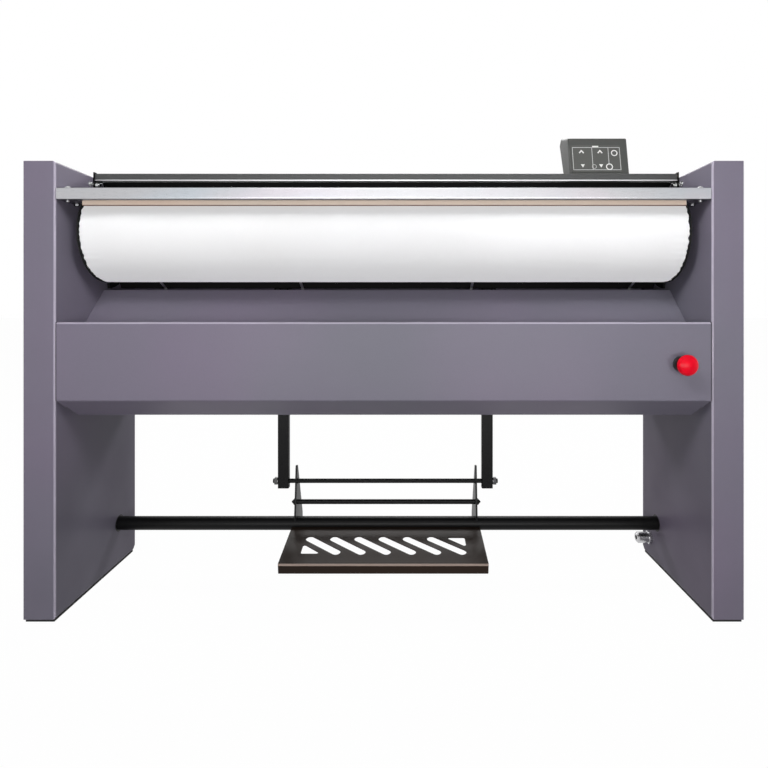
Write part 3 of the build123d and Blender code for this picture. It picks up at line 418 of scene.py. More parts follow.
@dataclass(frozen=True)
class Metal(Finish):
    """Bare metal with fine lines, stains and scratches."""

    tint: Tint
    stain: Tint
    roughness: float = 0.3
    grain: Grain = Grain.NONE
    lines: float = 0.00004
    pitch: float = 30.0
    stain_scale: float = 5.0
    line_dark: float = 0.9
    line_gloss: float = 0.18
    stain_gloss: float = 0.05

    def draw(self, sheet: ShaderSheet) -> bpy.types.Material:
        """Lines along the grain, a slow stain and a roughness that follows both.

        Args:
            sheet: Empty sheet.

        Returns:
            The material.
        """
        place = sheet.place()
        lines = sheet.noise(sheet.place(self.grain.value), self.pitch, detail=4.0)
        stain = sheet.noise(place, self.stain_scale, detail=3.0).past(level=0.42, gain=2.4)
        colour = sheet.blend(stain, tone(self.tint), tone(self.stain))
        groove = lines.past(level=0.5, gain=1.5)
        colour = sheet.blend(groove, colour, darker(self.tint, self.line_dark))
        return sheet.surface(
            {
                "Base Color": colour,
                "Metallic": 1.0,
                "Roughness": self.roughness
                + lines.swing(self.line_gloss)
                + stain * self.stain_gloss,
                "Normal": sheet.bump(lines, self.lines),
            }
        )


@dataclass(frozen=True)
class TintedSteel(Finish):
    """Brushed stainless bar, with painted blue and pink reflections in slow patches along its
    length and painted shade along its edges.
    """

    tint: Tint
    # Blue and pink tints laid in slow patches: painted reflections.
    blue: Tint
    pink: Tint
    roughness: float = 0.3
    # Zones of painted shade along the edges, with their share, tint and soft width.
    edges: tuple[Zone, ...] = ()
    edge_shade_share: float = 0.75
    edge_shade_tint: Tint = (58, 58, 62)
    edge_shade_soft: float = 0.0005
    line_scale: float = 34.0
    fine_scale: float = 22.0
    blue_scale: float = 3.1
    pink_scale: float = 4.7
    reflection_gain: float = 3.0
    relief: float = 0.00003
    fine_stretch: Corner = (2.0, 220.0, 220.0)
    blue_stretch: Corner = (1.0, 3.0, 3.0)
    pink_stretch: Corner = (1.0, 2.0, 2.0)
    line_dark: float = 0.88
    fine_gloss: float = 0.2

    def draw(self, sheet: ShaderSheet) -> bpy.types.Material:
        """Long fine lines, painted blue and pink reflections in slow patches along X, and painted
        shade along the edges.

        Args:
            sheet: Empty sheet.

        Returns:
            The material.
        """
        lines = sheet.noise(sheet.place(Grain.ALONG_X.value), self.line_scale, detail=5.0)
        fine = sheet.noise(sheet.place(self.fine_stretch), self.fine_scale)
        blue = sheet.noise(sheet.place(self.blue_stretch), self.blue_scale)
        pink = sheet.noise(sheet.place(self.pink_stretch), self.pink_scale, detail=1.0)
        colour = tone(self.tint)
        # Painted reflections: slow patches of blue and pink.
        colour = sheet.blend(blue.past(0.5, self.reflection_gain), colour, tone(self.blue))
        colour = sheet.blend(pink.past(0.5, self.reflection_gain), colour, tone(self.pink))
        groove = lines.past(level=0.5, gain=1.2)
        colour = sheet.blend(groove, colour, darker(self.tint, self.line_dark))
        # Painted shade darkens the bar along its top and bottom edges.
        for edge in self.edges:
            shade = sheet.inside(edge, self.edge_shade_soft) * self.edge_shade_share
            colour = sheet.blend(shade, colour, tone(self.edge_shade_tint))
        return sheet.surface(
            {
                "Base Color": colour,
                "Metallic": 1.0,
                "Roughness": self.roughness + fine.swing(self.fine_gloss),
                "Normal": sheet.bump(lines + fine, self.relief),
            }
        )


@dataclass(frozen=True)
class Spangle(Finish):
    """Zinc-dipped sheet with its crystal pattern."""

    tint: Tint
    light: Tint
    size: float = 55.0
    cloud_scale: float = 8.0
    metallic: float = 0.85
    roughness: float = 0.36
    relief: float = 0.00002
    crystal_share: float = 0.8
    cloud_share: float = 0.2
    crystal_gloss: float = 0.14

    def draw(self, sheet: ShaderSheet) -> bpy.types.Material:
        """Crystals of two greys, each with its own roughness.

        Args:
            sheet: Empty sheet.

        Returns:
            The material.
        """
        place = sheet.place()
        sockets = {"Vector": place, "Scale": self.size}
        crystal = sheet.node("ShaderNodeTexVoronoi", {}, sockets, "Color")
        level = sheet.node("ShaderNodeSeparateColor", {}, {"Color": crystal}, "Red")
        cloud = sheet.noise(place, self.cloud_scale, detail=3.0)
        share = level * self.crystal_share + cloud * self.cloud_share
        colour = sheet.blend(share, tone(self.tint), tone(self.light))
        return sheet.surface(
            {
                "Base Color": colour,
                "Metallic": self.metallic,
                "Roughness": self.roughness + level * self.crystal_gloss,
                "Normal": sheet.bump(level + cloud, self.relief),
            }
        )


@dataclass(frozen=True)
class Moulded(Finish):
    """Moulded plastic or rubber with a spark-eroded texture."""

    tint: Tint
    roughness: float = 0.45
    texture: float = 0.00006
    specular: float = 0.5
    coat: float = 0.0
    wear: Tint = (90, 90, 90)
    pimple_scale: float = 1100.0
    flow_scale: float = 16.0
    rub_scale: float = 26.0
    coat_roughness: float = 0.12
    flow_stretch: Corner = (1.0, 1.0, 0.4)
    rub_share: float = 0.35
    flow_dark: float = 0.85
    flow_gloss: float = 0.15

    def draw(self, sheet: ShaderSheet) -> bpy.types.Material:
        """Pimpled texture, faint flow marks and rubbed patches.

        Args:
            sheet: Empty sheet.

        Returns:
            The material.
        """
        place = sheet.place()
        pimples = sheet.noise(place, self.pimple_scale)
        flow = sheet.noise(sheet.place(self.flow_stretch), self.flow_scale, detail=3.0)
        rubbed = sheet.noise(place, self.rub_scale, detail=4.0).past(level=0.56, gain=1.4)
        colour = sheet.blend(rubbed * self.rub_share, tone(self.tint), tone(self.wear))
        mark = flow.past(level=0.4, gain=0.9)
        colour = sheet.blend(mark, colour, darker(self.tint, self.flow_dark))
        return sheet.surface(
            {
                "Base Color": colour,
                "Roughness": self.roughness + flow.swing(self.flow_gloss),
                "Specular IOR Level": self.specular,
                "Coat Weight": self.coat,
                "Coat Roughness": self.coat_roughness,
                "Normal": sheet.bump(pimples, self.texture),
            }
        )


@dataclass(frozen=True)
class Cast(Finish):
    """Painted casting with a sandy skin."""

    tint: Tint
    roughness: float = 0.6
    metallic: float = 0.2
    sand_scale: float = 260.0
    grime_scale: float = 20.0
    relief: float = 0.0003
    grime_share: float = 0.7
    grime_dark: float = 0.6
    grime_gloss: float = 0.15

    def draw(self, sheet: ShaderSheet) -> bpy.types.Material:
        """Sandy bumps, with grime in the hollows.

        Args:
            sheet: Empty sheet.

        Returns:
            The material.
        """
        place = sheet.place()
        sand = sheet.noise(place, self.sand_scale, detail=5.0)
        grime_and_shade = sheet.noise(place, self.grime_scale, detail=4.0).past(level=0.45, gain=2.0)
        hollow = darker(self.tint, self.grime_dark)
        colour = sheet.blend(grime_and_shade * self.grime_share, tone(self.tint), hollow)
        return sheet.surface(
            {
                "Base Color": colour,
                "Metallic": self.metallic,
                "Roughness": self.roughness + grime_and_shade.swing(self.grime_gloss),
                "Normal": sheet.bump(sand, self.relief),
            }
        )


@dataclass(frozen=True)
class Cloth(Finish):
    """White cotton cloth in a plain weave, on a pattern that follows the surface."""

    tint: Tint
    # Tint of the real stains, and of the painted shade in the gaps between threads.
    shadow: Tint
    threads: float = 900.0
    slub_scale: float = 26.0
    fuzz_scale: float = 2600.0
    stain_scale: float = 3.4
    thread_height: float = 0.00012
    slub_stretch: Corner = (1.0, 30.0, 30.0)
    stain_share: float = 0.4
    gap_shade_share: float = 0.16
    thread_relief: float = 0.6
    slub_relief: float = 0.5
    fuzz_relief: float = 0.25
    relief_strength: float = 0.6
    roughness: float = 0.88
    slub_gloss: float = 0.1
    specular: float = 0.15
    sheen: float = 0.8
    sheen_roughness: float = 0.5

    def draw(self, sheet: ShaderSheet) -> bpy.types.Material:
        """Threads over and under each other, slubs, soft stains and loose fibres, with painted
        shade in the gaps between threads.

        Args:
            sheet: Empty sheet.

        Returns:
            The material.
        """
        pattern = sheet.node("ShaderNodeUVMap", {"uv_map": "weave"}, {})
        along = sheet.node("ShaderNodeSeparateXYZ", {}, {"Vector": pattern}, "X")
        across = sheet.node("ShaderNodeSeparateXYZ", {}, {"Vector": pattern}, "Y")
        step = math.pi * self.threads
        warp = (across * step).sine()
        weft = (along * step).sine()
        over = (warp * weft).above(0.0)
        height = over * warp * warp + (1.0 - over) * weft * weft
        slub = sheet.noise(sheet.place(self.slub_stretch), self.slub_scale, detail=3.0)
        fuzz = sheet.noise(sheet.place(), self.fuzz_scale)
        stain = sheet.noise(sheet.place(), self.stain_scale, detail=4.0)
        stain = stain.past(level=0.42, gain=1.8)
        colour = sheet.blend(stain * self.stain_share, tone(self.tint), tone(self.shadow))
        # Painted shade: the gaps between the threads are darkened.
        colour = sheet.blend((1.0 - height) * self.gap_shade_share, colour, tone(self.shadow))
        relief = height * self.thread_relief + slub * self.slub_relief + fuzz * self.fuzz_relief
        return sheet.surface(
            {
                "Base Color": colour,
                "Roughness": self.roughness + slub.swing(self.slub_gloss),
                "Diffuse Roughness": 1.0,
                "Specular IOR Level": self.specular,
                "Sheen Weight": self.sheen,
                "Sheen Roughness": self.sheen_roughness,
                "Normal": sheet.bump(relief, self.thread_height, self.relief_strength),
            }
        )


@dataclass(frozen=True)
class Ink(Finish):
    """Screen-printed ink."""

    tint: Tint
    film_scale: float = 700.0
    film_height: float = 0.00001
    film_dark: float = 0.8
    roughness: float = 0.5
    film_gloss: float = 0.2

    def draw(self, sheet: ShaderSheet) -> bpy.types.Material:
        """Ink with pinholes and an uneven coat.

        Args:
            sheet: Empty sheet.

        Returns:
            The material.
        """
        film = sheet.noise(sheet.place(), self.film_scale)
        thin = film.past(level=0.5, gain=1.4)
        colour = sheet.blend(thin, tone(self.tint), darker(self.tint, self.film_dark))
        return sheet.surface(
            {
                "Base Color": colour,
                "Roughness": self.roughness + film.swing(self.film_gloss),
                "Normal": sheet.bump(film, self.film_height),
            }
        )


# Painted highlights along the bends of the posts and the top of the beam.
POST_BEND_HIGHLIGHT = Zone((0.7340, -0.1580, 0.0), (0.7382, -0.1520, 1.04))
BEAM_BEND_HIGHLIGHT = Zone((-0.1, -0.1570, 0.6670), (0.7330, -0.1500, 0.6720))
# Painted highlight along the tread's front bend.
TREAD_BEND_HIGHLIGHT = Zone((-0.1, -0.0670, 0.0810), (0.2600, -0.0615, 0.0870))
# Painted shade along the top and bottom edges of the feed bar.
BAR_EDGE_SHADE = (
    Zone((-0.1, -0.158, 0.9450), (0.733, -0.152, 0.9474)),
    Zone((-0.1, -0.158, 0.9714), (0.733, -0.152, 0.9732)),
)
# Painted shade on the feed strip: a dark line at its top under the feed bar's shadow, and one along
# its lower edge.
STRIP_EDGE_SHADE = (
    Zone((-0.1, -0.13, 0.9370), (0.71, -0.10, 0.9414)),
    Zone((-0.1, -0.13, 0.9514), (0.71, -0.10, 0.9560)),
)
FRAME_PAINT = Paint(
    "frame_powder_paint",
    Slot.FRAME_PAINT,
    tint=(119, 117, 129),
    drift=(126, 117, 135),
    roughness=0.5,
    specular=0.14,
    coat=0.05,
    # Patchy painted shade towards the floor, and painted highlights on the bends.
    grime_and_shade=0.2,
    painted_light_zones=(POST_BEND_HIGHLIGHT, BEAM_BEND_HIGHLIGHT),
)
# Near-black with little shine for the chest's cover and ends: painted shade for the dark space
# under and behind the roller.
CHEST_SHADE_BLACK = Paint(
    "chest_shade_black_paint",
    Slot.BLACK_PAINT,
    tint=(10, 10, 11),
    drift=(14, 13, 14),
    roughness=0.6,
    specular=0.08,
)
# A darker copy of the frame paint: painted shade for the shaded underside of the feed bar's
# brackets.
SHADED_BRACKET_PAINT = Paint(
    "bracket_painted_shade",
    Slot.FRAME_PAINT,
    tint=(72, 69, 78),
    drift=(80, 75, 86),
    roughness=0.5,
    specular=0.25,
)
BLACK_PAINT = Paint(
    "black_satin_paint",
    Slot.BLACK_PAINT,
    tint=(12, 12, 13),
    drift=(18, 18, 18),
    roughness=0.36,
    specular=0.1,
)
TREAD_PAINT = Paint(
    "bronze_black_tread_paint",
    Slot.TREAD_PAINT,
    tint=(30, 23, 19),
    drift=(50, 36, 28),
    roughness=0.44,
    specular=0.06,
    coat=0.03,
    dust=0.05,
    # A light line along the front bend: painted highlight.
    painted_light_zones=(TREAD_BEND_HIGHLIGHT,),
    painted_light_tint=(206, 184, 172),
)
GUARD_PAINT = Paint(
    "guard_grey_paint",
    Slot.GUARD_PAINT,
    tint=(60, 61, 61),
    drift=(71, 72, 72),
    roughness=0.35,
    specular=0.3,
    coat=0.1,
)
STAINLESS = TintedSteel(
    "brushed_stainless",
    Slot.STAINLESS,
    tint=(182, 182, 185),
    # Blue and pink painted reflections, and painted shade along the edges.
    blue=(174, 184, 193),
    pink=(190, 181, 188),
    edges=BAR_EDGE_SHADE,
)
ALUMINIUM = Metal(
    "machined_aluminium",
    Slot.CHEST_ALUMINIUM,
    tint=(190, 192, 196),
    stain=(170, 168, 168),
    roughness=0.34,
    grain=Grain.ALONG_X,
)
GALVANISED = Spangle(
    "zinc_dipped_sheet",
    Slot.GALVANISED,
    tint=(138, 142, 146),
    light=(182, 186, 188),
)
HEATER_STEEL = Metal(
    "heat_tinted_steel",
    Slot.HEATER_STEEL,
    tint=(104, 92, 84),
    stain=(70, 62, 78),
    roughness=0.42,
)
BRIGHT_STEEL = Metal(
    "turned_steel",
    Slot.BRIGHT_STEEL,
    tint=(172, 174, 178),
    stain=(140, 138, 138),
    roughness=0.3,
    grain=Grain.TURNED,
)
ZINC = Metal(
    "zinc_plated_steel",
    Slot.ZINC,
    tint=(206, 208, 208),
    stain=(188, 186, 172),
    roughness=0.28,
)
DARK_ZINC = Metal(
    "black_zinc_steel",
    Slot.ZINC,
    tint=(92, 92, 94),
    stain=(120, 118, 112),
    roughness=0.32,
)
# Light strip on the guard's lower edge: a painted highlight for the light along its lit hem.
GUARD_HIGHLIGHT_STRIP = Metal(
    "guard_highlight_strip",
    Slot.GALVANISED,
    tint=(204, 203, 205),
    stain=(206, 206, 208),
    roughness=0.4,
    grain=Grain.ALONG_X,
)
FEED_STRIP = Paint(
    "brown_feed_strip",
    Slot.FEED_STRIP,
    tint=(246, 220, 201),
    drift=(242, 226, 209),
    roughness=0.4,
    specular=0.4,
    peel=0.00005,
    # Dark brown lines along the strip's top and lower edges: painted shade.
    painted_light_zones=STRIP_EDGE_SHADE,
    painted_light_tint=(112, 74, 58),
    painted_light_share=0.9,
)
CONTROL_GREY = Moulded(
    "control_box_grey",
    Slot.CONTROL_GREY,
    tint=(68, 69, 67),
    roughness=0.5,
    specular=0.3,
    wear=(94, 95, 94),
)
MEMBRANE = Moulded(
    "membrane_film",
    Slot.MEMBRANE,
    tint=(74, 75, 72),
    roughness=0.42,
    texture=0.00002,
    specular=0.4,
    wear=(84, 86, 84),
)
STOP_RED = Moulded(
    "stop_button_red",
    Slot.STOP_RED,
    tint=(232, 0, 34),
    roughness=0.3,
    texture=0.00001,
    specular=0.1,
    coat=0.06,
    wear=(226, 8, 40),
)
BLACK_PLASTIC = Moulded(
    "black_moulding",
    Slot.BLACK_PLASTIC,
    tint=(24, 24, 25),
    roughness=0.5,
    specular=0.35,
    wear=(50, 50, 50),
)
RUBBER = Moulded(
    "black_rubber",
    Slot.RUBBER,
    tint=(22, 22, 22),
    roughness=0.75,
    texture=0.00015,
    specular=0.25,
    wear=(58, 56, 54),
)
BELT_RUBBER = Moulded(
    "belt_fabric_rubber",
    Slot.BELT_RUBBER,
    tint=(30, 29, 28),
    roughness=0.7,
    texture=0.0002,
    specular=0.25,
    wear=(70, 66, 60),
)
CAST_IRON = Cast("painted_casting", Slot.CAST_IRON, tint=(78, 80, 82))
MOTOR_PAINT = Cast("motor_enamel", Slot.MOTOR_PAINT, tint=(96, 102, 108), roughness=0.45)
GLAND_METAL = Metal(
    "nickel_plated_brass",
    Slot.GLAND_METAL,
    tint=(196, 196, 200),
    stain=(170, 168, 164),
    roughness=0.24,
)
ROLLER_CLOTH = Cloth(
    "white_cotton_weave",
    Slot.ROLLER_CLOTH,
    tint=(243, 243, 244),
    shadow=(228, 227, 226),
)
WHITE_INK = Ink("white_ink", Slot.MEMBRANE, tint=(224, 224, 222))
GREY_INK = Ink("grey_ink", Slot.MEMBRANE, tint=(186, 187, 186))


def dress(finish: Finish, *names: str) -> None:
    """Give CAD nodes a finish.

    Args:
        finish: The finish.
        names: Names of the nodes.
    """
    for name in names:
        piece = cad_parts[name]
        if not piece.material_slots:
            piece.data.materials.append(finish.material())
        for slot in piece.material_slots:
            slot.material = finish.material()


def finished(
    name: str, draft: bmesh.types.BMesh, finish: Finish, body: Body, crease: float = 35.0
) -> bpy.types.Object:
    """Turn a draft into a piece of the machine.

    Args:
        name: Name of the piece.
        draft: Its mesh in metres, in its place.
        finish: Its finish.
        body: Body that it rides on.
        crease: Angle in degrees above which an edge stays sharp.

    Returns:
        The piece.
    """
    bmesh.ops.recalc_face_normals(draft, faces=draft.faces[:])
    data = bpy.data.meshes.new(name)
    draft.to_mesh(data)
    draft.free()
    data.shade_smooth()
    data.set_sharp_from_angle(angle=math.radians(crease))
    data.materials.append(finish.material())
    piece = bpy.data.objects.new(name, data)
    bpy.context.scene.collection.objects.link(piece)
    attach(piece, body.value)
    log.info("%s: %d faces on %s", name, len(data.polygons), body.value)
    return piece


def facing(origin: Vector, outward: Vector, upward: Vector) -> Matrix:
    """Matrix that carries a piece drawn in X and Y to a face.

    Args:
        origin: Where the middle of the drawing goes.
        outward: Direction away from the face.
        upward: Direction that the drawing's Y takes.

    Returns:
        The matrix.
    """
    across = upward.cross(outward)
    turn = Matrix((across, upward, outward)).transposed().to_4x4()
    return Matrix.Translation(origin) @ turn


PAN_SIDES = 16
PAN_TIP = 0.72
PAN_RECESS_WALL = 0.3
PAN_RECESS_DEPTH = 0.4
WASHER_SIDES = 24
WASHER_SHARE = 0.22
HEXAGON_CHAMFER = 0.14


def soften(draft: bmesh.types.BMesh, edges: list[bmesh.types.BMEdge], offset: float) -> None:
    """Round edges off in two segments.

    Args:
        draft: Mesh that they belong to.
        edges: The edges.
        offset: Width that is taken off on each side.
    """
    bmesh.ops.bevel(
        draft,
        geom=edges,
        offset=offset,
        segments=2,
        profile=0.5,
        affect="EDGES",
        material=-1,
    )


def add_block(draft: bmesh.types.BMesh, centre: Vector, size: Corner) -> None:
    """Add a block with its middle at a point.

    Args:
        draft: Mesh that it is added to.
        centre: Its middle.
        size: Its size on X, Y and Z.
    """
    place = Matrix.Translation(centre) @ Matrix.Diagonal((*size, 1))
    bmesh.ops.create_cube(draft, size=1.0, matrix=place)


def add_stud(
    draft: bmesh.types.BMesh, place: Matrix, sides: int, foot: float, tip: float, height: float
) -> bmesh.types.BMFace:
    """Add a cylinder, a prism or a blunt cone that stands on a face.

    Args:
        draft: Mesh that it is added to.
        place: Matrix to the face it stands on.
        sides: Number of its sides.
        foot: Radius at its foot.
        tip: Radius at its top.
        height: Its height.

    Returns:
        Its top face.
    """
    made = bmesh.ops.create_cone(
        draft,
        cap_ends=True,
        segments=sides,
        radius1=foot,
        radius2=tip,
        depth=height,
        matrix=place @ Matrix.Translation((0, 0, height / 2)),
    )
    outward = place.to_3x3() @ Vector((0, 0, 1))
    caps = {face for vert in made["verts"] for face in vert.link_faces if len(face.verts) == sides}
    return max(caps, key=lambda face: face.calc_center_median().dot(outward))


def add_pan_head(draft: bmesh.types.BMesh, place: Matrix, radius: float, height: float) -> None:
    """Add a domed screw head with a recess.

    Args:
        draft: Mesh that it is added to.
        place: Matrix to the face it sits on.
        radius: Radius of the head.
        height: Height of the head.
    """
    top = add_stud(draft, place, PAN_SIDES, radius, radius * PAN_TIP, height)
    outward = place.to_3x3() @ Vector((0, 0, 1))
    bmesh.ops.inset_region(draft, faces=[top], thickness=radius * PAN_RECESS_WALL, depth=0.0)
    bmesh.ops.translate(draft, verts=top.verts[:], vec=-outward * height * PAN_RECESS_DEPTH)


def add_hexagon(
    draft: bmesh.types.BMesh, place: Matrix, across: float, height: float, washer: float
) -> None:
    """Add a hexagon head on a washer, with its corners taken off.

    Args:
        draft: Mesh that it is added to.
        place: Matrix to the face it sits on.
        across: Width across its flats.
        height: Height of the head.
        washer: Radius of the washer.
    """
    sheet = height * WASHER_SHARE
    add_stud(draft, place, WASHER_SIDES, washer, washer, sheet)
    corner = across / math.sqrt(3)
    seat = place @ Matrix.Translation((0, 0, sheet))
    top = add_stud(draft, seat, 6, corner, corner, height)
    soften(draft, top.edges[:], height * HEXAGON_CHAMFER)


def add_turned(draft: bmesh.types.BMesh, outline: list[Spot], centre: Vector, steps: int) -> None:
    """Spin a closed outline all the way round an axis along X.

    Args:
        draft: Mesh that it is added to.
        outline: Places along X with their radii.
        centre: Point on the axis.
        steps: Number of steps in a turn.
    """
    verts = [draft.verts.new((x, centre.y, centre.z + radius)) for x, radius in outline]
    edges = [draft.edges.new(pair) for pair in zip(verts, verts[1:] + verts[:1])]
    bmesh.ops.spin(
        draft,
        geom=verts + edges,
        cent=(0, centre.y, centre.z),
        axis=(1, 0, 0),
        angle=2 * math.pi,
        steps=steps,
        use_merge=True,
    )


class Assembly:
    """Part of the machine that is built and dressed by itself."""

    def build(self) -> None:
        """Build nothing where the frame's own nodes are all that it has."""

    def dress(self) -> None:
        """Give the nodes their finishes."""
        raise NotImplementedError


@dataclass
class Posts(Assembly):
    """Posts with their covers, screws and feet."""

    def dress(self) -> None:
        """Give the nodes their finishes."""
        dress(FRAME_PAINT, "post_left", "post_right", "side_cover_left", "side_cover_right")
        dress(ZINC, "side_cover_screws")
        dress(RUBBER, "foot_pads")


@dataclass
class FrontPanels(Assembly):
    """Beam, tray, stripper fingers and feed bar."""

    nut_across: float = 0.010
    nut_height: float = 0.005
    nut_washer: float = 0.0072
    nut_from_post: float = 0.013
    nut_depth: float = 0.054
    # Dark strips in the beam's end gaps stand in for the shade there: their set-back, depth, play
    # and rounding.
    shade_strip_set_back: float = 0.0012
    shade_strip_depth: float = 0.002
    shade_strip_play: float = 0.0001
    shade_strip_edge: float = 0.0003
    beam_skirt: float = 0.046

    def gap_shade_strips(self) -> None:
        """Black strips in the gaps between the beam and the posts: painted shade, dark sheets where
        the gaps hold only shade.
        """
        draft = bmesh.new()
        low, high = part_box("front_beam")
        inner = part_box("post_right")[0].x
        bottom = low.z + self.beam_skirt
        size = (inner - high.x - 2 * self.shade_strip_play, self.shade_strip_depth, high.z - bottom)
        y = low.y + self.shade_strip_set_back + self.shade_strip_depth / 2
        for side in (-1, 1):
            centre = Vector((side * (inner + high.x) / 2, y, (bottom + high.z) / 2))
            add_block(draft, centre, size)
        soften(draft, draft.edges[:], self.shade_strip_edge)
        finished("beam_gap_shade_strips", draft, RUBBER, Body.FRAME)

    def build(self) -> None:
        """Dark strips beside the beam as painted shade, and nuts under the brackets of the feed
        bar.
        """
        self.gap_shade_strips()
        draft = bmesh.new()
        low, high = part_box("feed_brackets")
        for side in (-1, 1):
            origin = Vector((side * (high.x - self.nut_from_post), low.y + self.nut_depth, low.z))
            place = facing(origin, Vector((0, 0, -1)), Vector((0, 1, 0)))
            add_hexagon(draft, place, self.nut_across, self.nut_height, self.nut_washer)
        finished("feed_bracket_nuts", draft, DARK_ZINC, Body.FRAME)

    def dress(self) -> None:
        """Give the nodes their finishes."""
        dress(FRAME_PAINT, "front_beam", "linen_tray")
        # The brackets get the darker copy of the frame paint as painted shade.
        dress(SHADED_BRACKET_PAINT, "feed_brackets")
        dress(STAINLESS, "feed_bar", "stripper_fingers")
        dress(FEED_STRIP, "feed_lip")
        dress(ZINC, "feed_nuts")


@dataclass
class HandGuard(Assembly):
    """Hand guard with its arms, pins, return springs and switch."""

    bolt_across: float = 0.008
    bolt_height: float = 0.0045
    bolt_washer: float = 0.0065
    bolt_rise: float = 0.007
    arm_bolt_depth: float = 0.010
    post_bolt_lead: float = 0.004
    wire: float = 0.0009
    spring_radius: float = 0.011
    spring_gap: float = 0.0022
    spring_lead: float = 0.0176
    spring_rise: float = 0.0042
    wire_sides: int = 10
    spring_steps: int = 20
    strip_height: float = 0.0026
    strip_depth: float = 0.0008
    strip_edge: float = 0.00024

    def bolt(self, name: str, body: Body, face: float, place: Spot, side: int) -> None:
        """One bolt with its head towards the machine's middle.

        Args:
            name: Name of the piece.
            body: Body that it rides on.
            face: Place of its seat along X.
            place: Its place in Y and Z.
            side: Left or right end, as -1 or 1.
        """
        draft = bmesh.new()
        seat = facing(Vector((face, *place)), Vector((-side, 0, 0)), Vector((0, 0, 1)))
        add_hexagon(draft, seat, self.bolt_across, self.bolt_height, self.bolt_washer)
        finished(name, draft, ZINC, body)

    def spring(self, name: str, x: float, place: Spot) -> None:
        """Arched wire of a return spring.

        Args:
            name: Name of the piece.
            x: Its place along X.
            place: Middle of its arch in Y and Z.
        """
        draft = bmesh.new()
        centre = Vector((x, *place))
        start = Matrix.Translation(centre + Vector((0, self.spring_radius, 0)))
        ring = bmesh.ops.create_circle(
            draft, segments=self.wire_sides, radius=self.wire, matrix=start
        )
        bmesh.ops.spin(
            draft,
            geom=ring["verts"] + draft.edges[:],
            cent=centre,
            axis=(1, 0, 0),
            angle=math.pi,
            steps=self.spring_steps,
            use_merge=False,
        )
        bmesh.ops.holes_fill(draft, edges=[edge for edge in draft.edges if edge.is_boundary])
        finished(name, draft, BRIGHT_STEEL, Body.GUARD)

    def highlight_strip(self) -> None:
        """Bright strip along the lower edge of the guard: a painted highlight for the light along
        its lit hem.
        """
        draft = bmesh.new()
        low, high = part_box("guard_bar")
        size = (high.x - low.x, self.strip_depth, self.strip_height)
        centre = Vector((0, low.y - self.strip_depth / 2, low.z + self.strip_height / 2))
        add_block(draft, centre, size)
        edges = [edge for edge in draft.edges if edge.calc_length() > self.strip_height * 2]
        soften(draft, edges, self.strip_edge)
        finished("guard_highlight_strip", draft, GUARD_HIGHLIGHT_STRIP, Body.GUARD)

    def build(self) -> None:
        """Painted highlight strip, bolts of the arms and of the posts, and the springs beside the
        arms.
        """
        self.highlight_strip()
        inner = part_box("feed_brackets")[1].x
        for side, end in ((-1, "left"), (1, "right")):
            low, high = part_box("guard_arm_" + end)
            face = high.x if side < 0 else low.x
            z = low.z + self.bolt_rise
            deep = low.y + self.arm_bolt_depth
            self.bolt("guard_bolt_" + end, Body.GUARD, face, (deep, z), side)
            ahead = low.y - self.post_bolt_lead - self.bolt_washer
            self.bolt("post_bolt_" + end, Body.FRAME, side * inner, (ahead, z), side)
            middle = (high.y - self.spring_lead, low.z + self.spring_rise)
            self.spring("guard_spring_" + end, face - side * self.spring_gap, middle)

    def dress(self) -> None:
        """Give the nodes their finishes."""
        dress(GUARD_PAINT, "guard_bar")
        dress(BLACK_PAINT, "guard_arm_left", "guard_arm_right")
        dress(BRIGHT_STEEL, "guard_pins")
        dress(BLACK_PLASTIC, "guard_switch")


@dataclass
class BackCovers(Assembly):
    """Top cover, rear cover and cross rail."""

    screw_radius: float = 0.0045
    screw_height: float = 0.0019
    screw_count: int = 7
    edge: float = 0.012

    def build(self) -> None:
        """Screws along the upper and lower edges of the rear cover."""
        draft = bmesh.new()
        low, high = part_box("rear_cover")
        pitch = (high.x - low.x - 2 * self.edge) / (self.screw_count - 1)
        for z in (low.z + self.edge, high.z - self.edge):
            for index in range(self.screw_count):
                origin = Vector((low.x + self.edge + index * pitch, high.y, z))
                place = facing(origin, Vector((0, 1, 0)), Vector((0, 0, 1)))
                add_pan_head(draft, place, self.screw_radius, self.screw_height)
        finished("rear_cover_screws", draft, ZINC, Body.FRAME)

    def dress(self) -> None:
        """Give the nodes their finishes."""
        dress(FRAME_PAINT, "rear_cover")
        # The top cover is black: partly its dark paint, partly painted shade for the dark band
        # above the roller.
        dress(BLACK_PAINT, "top_cover", "cross_rail")
        dress(RUBBER, "lever_bumpers")


@dataclass(frozen=True)
class Ring:
    """Printed ring: its centre, outer radius and width."""

    centre: Spot
    radius: float
    width: float


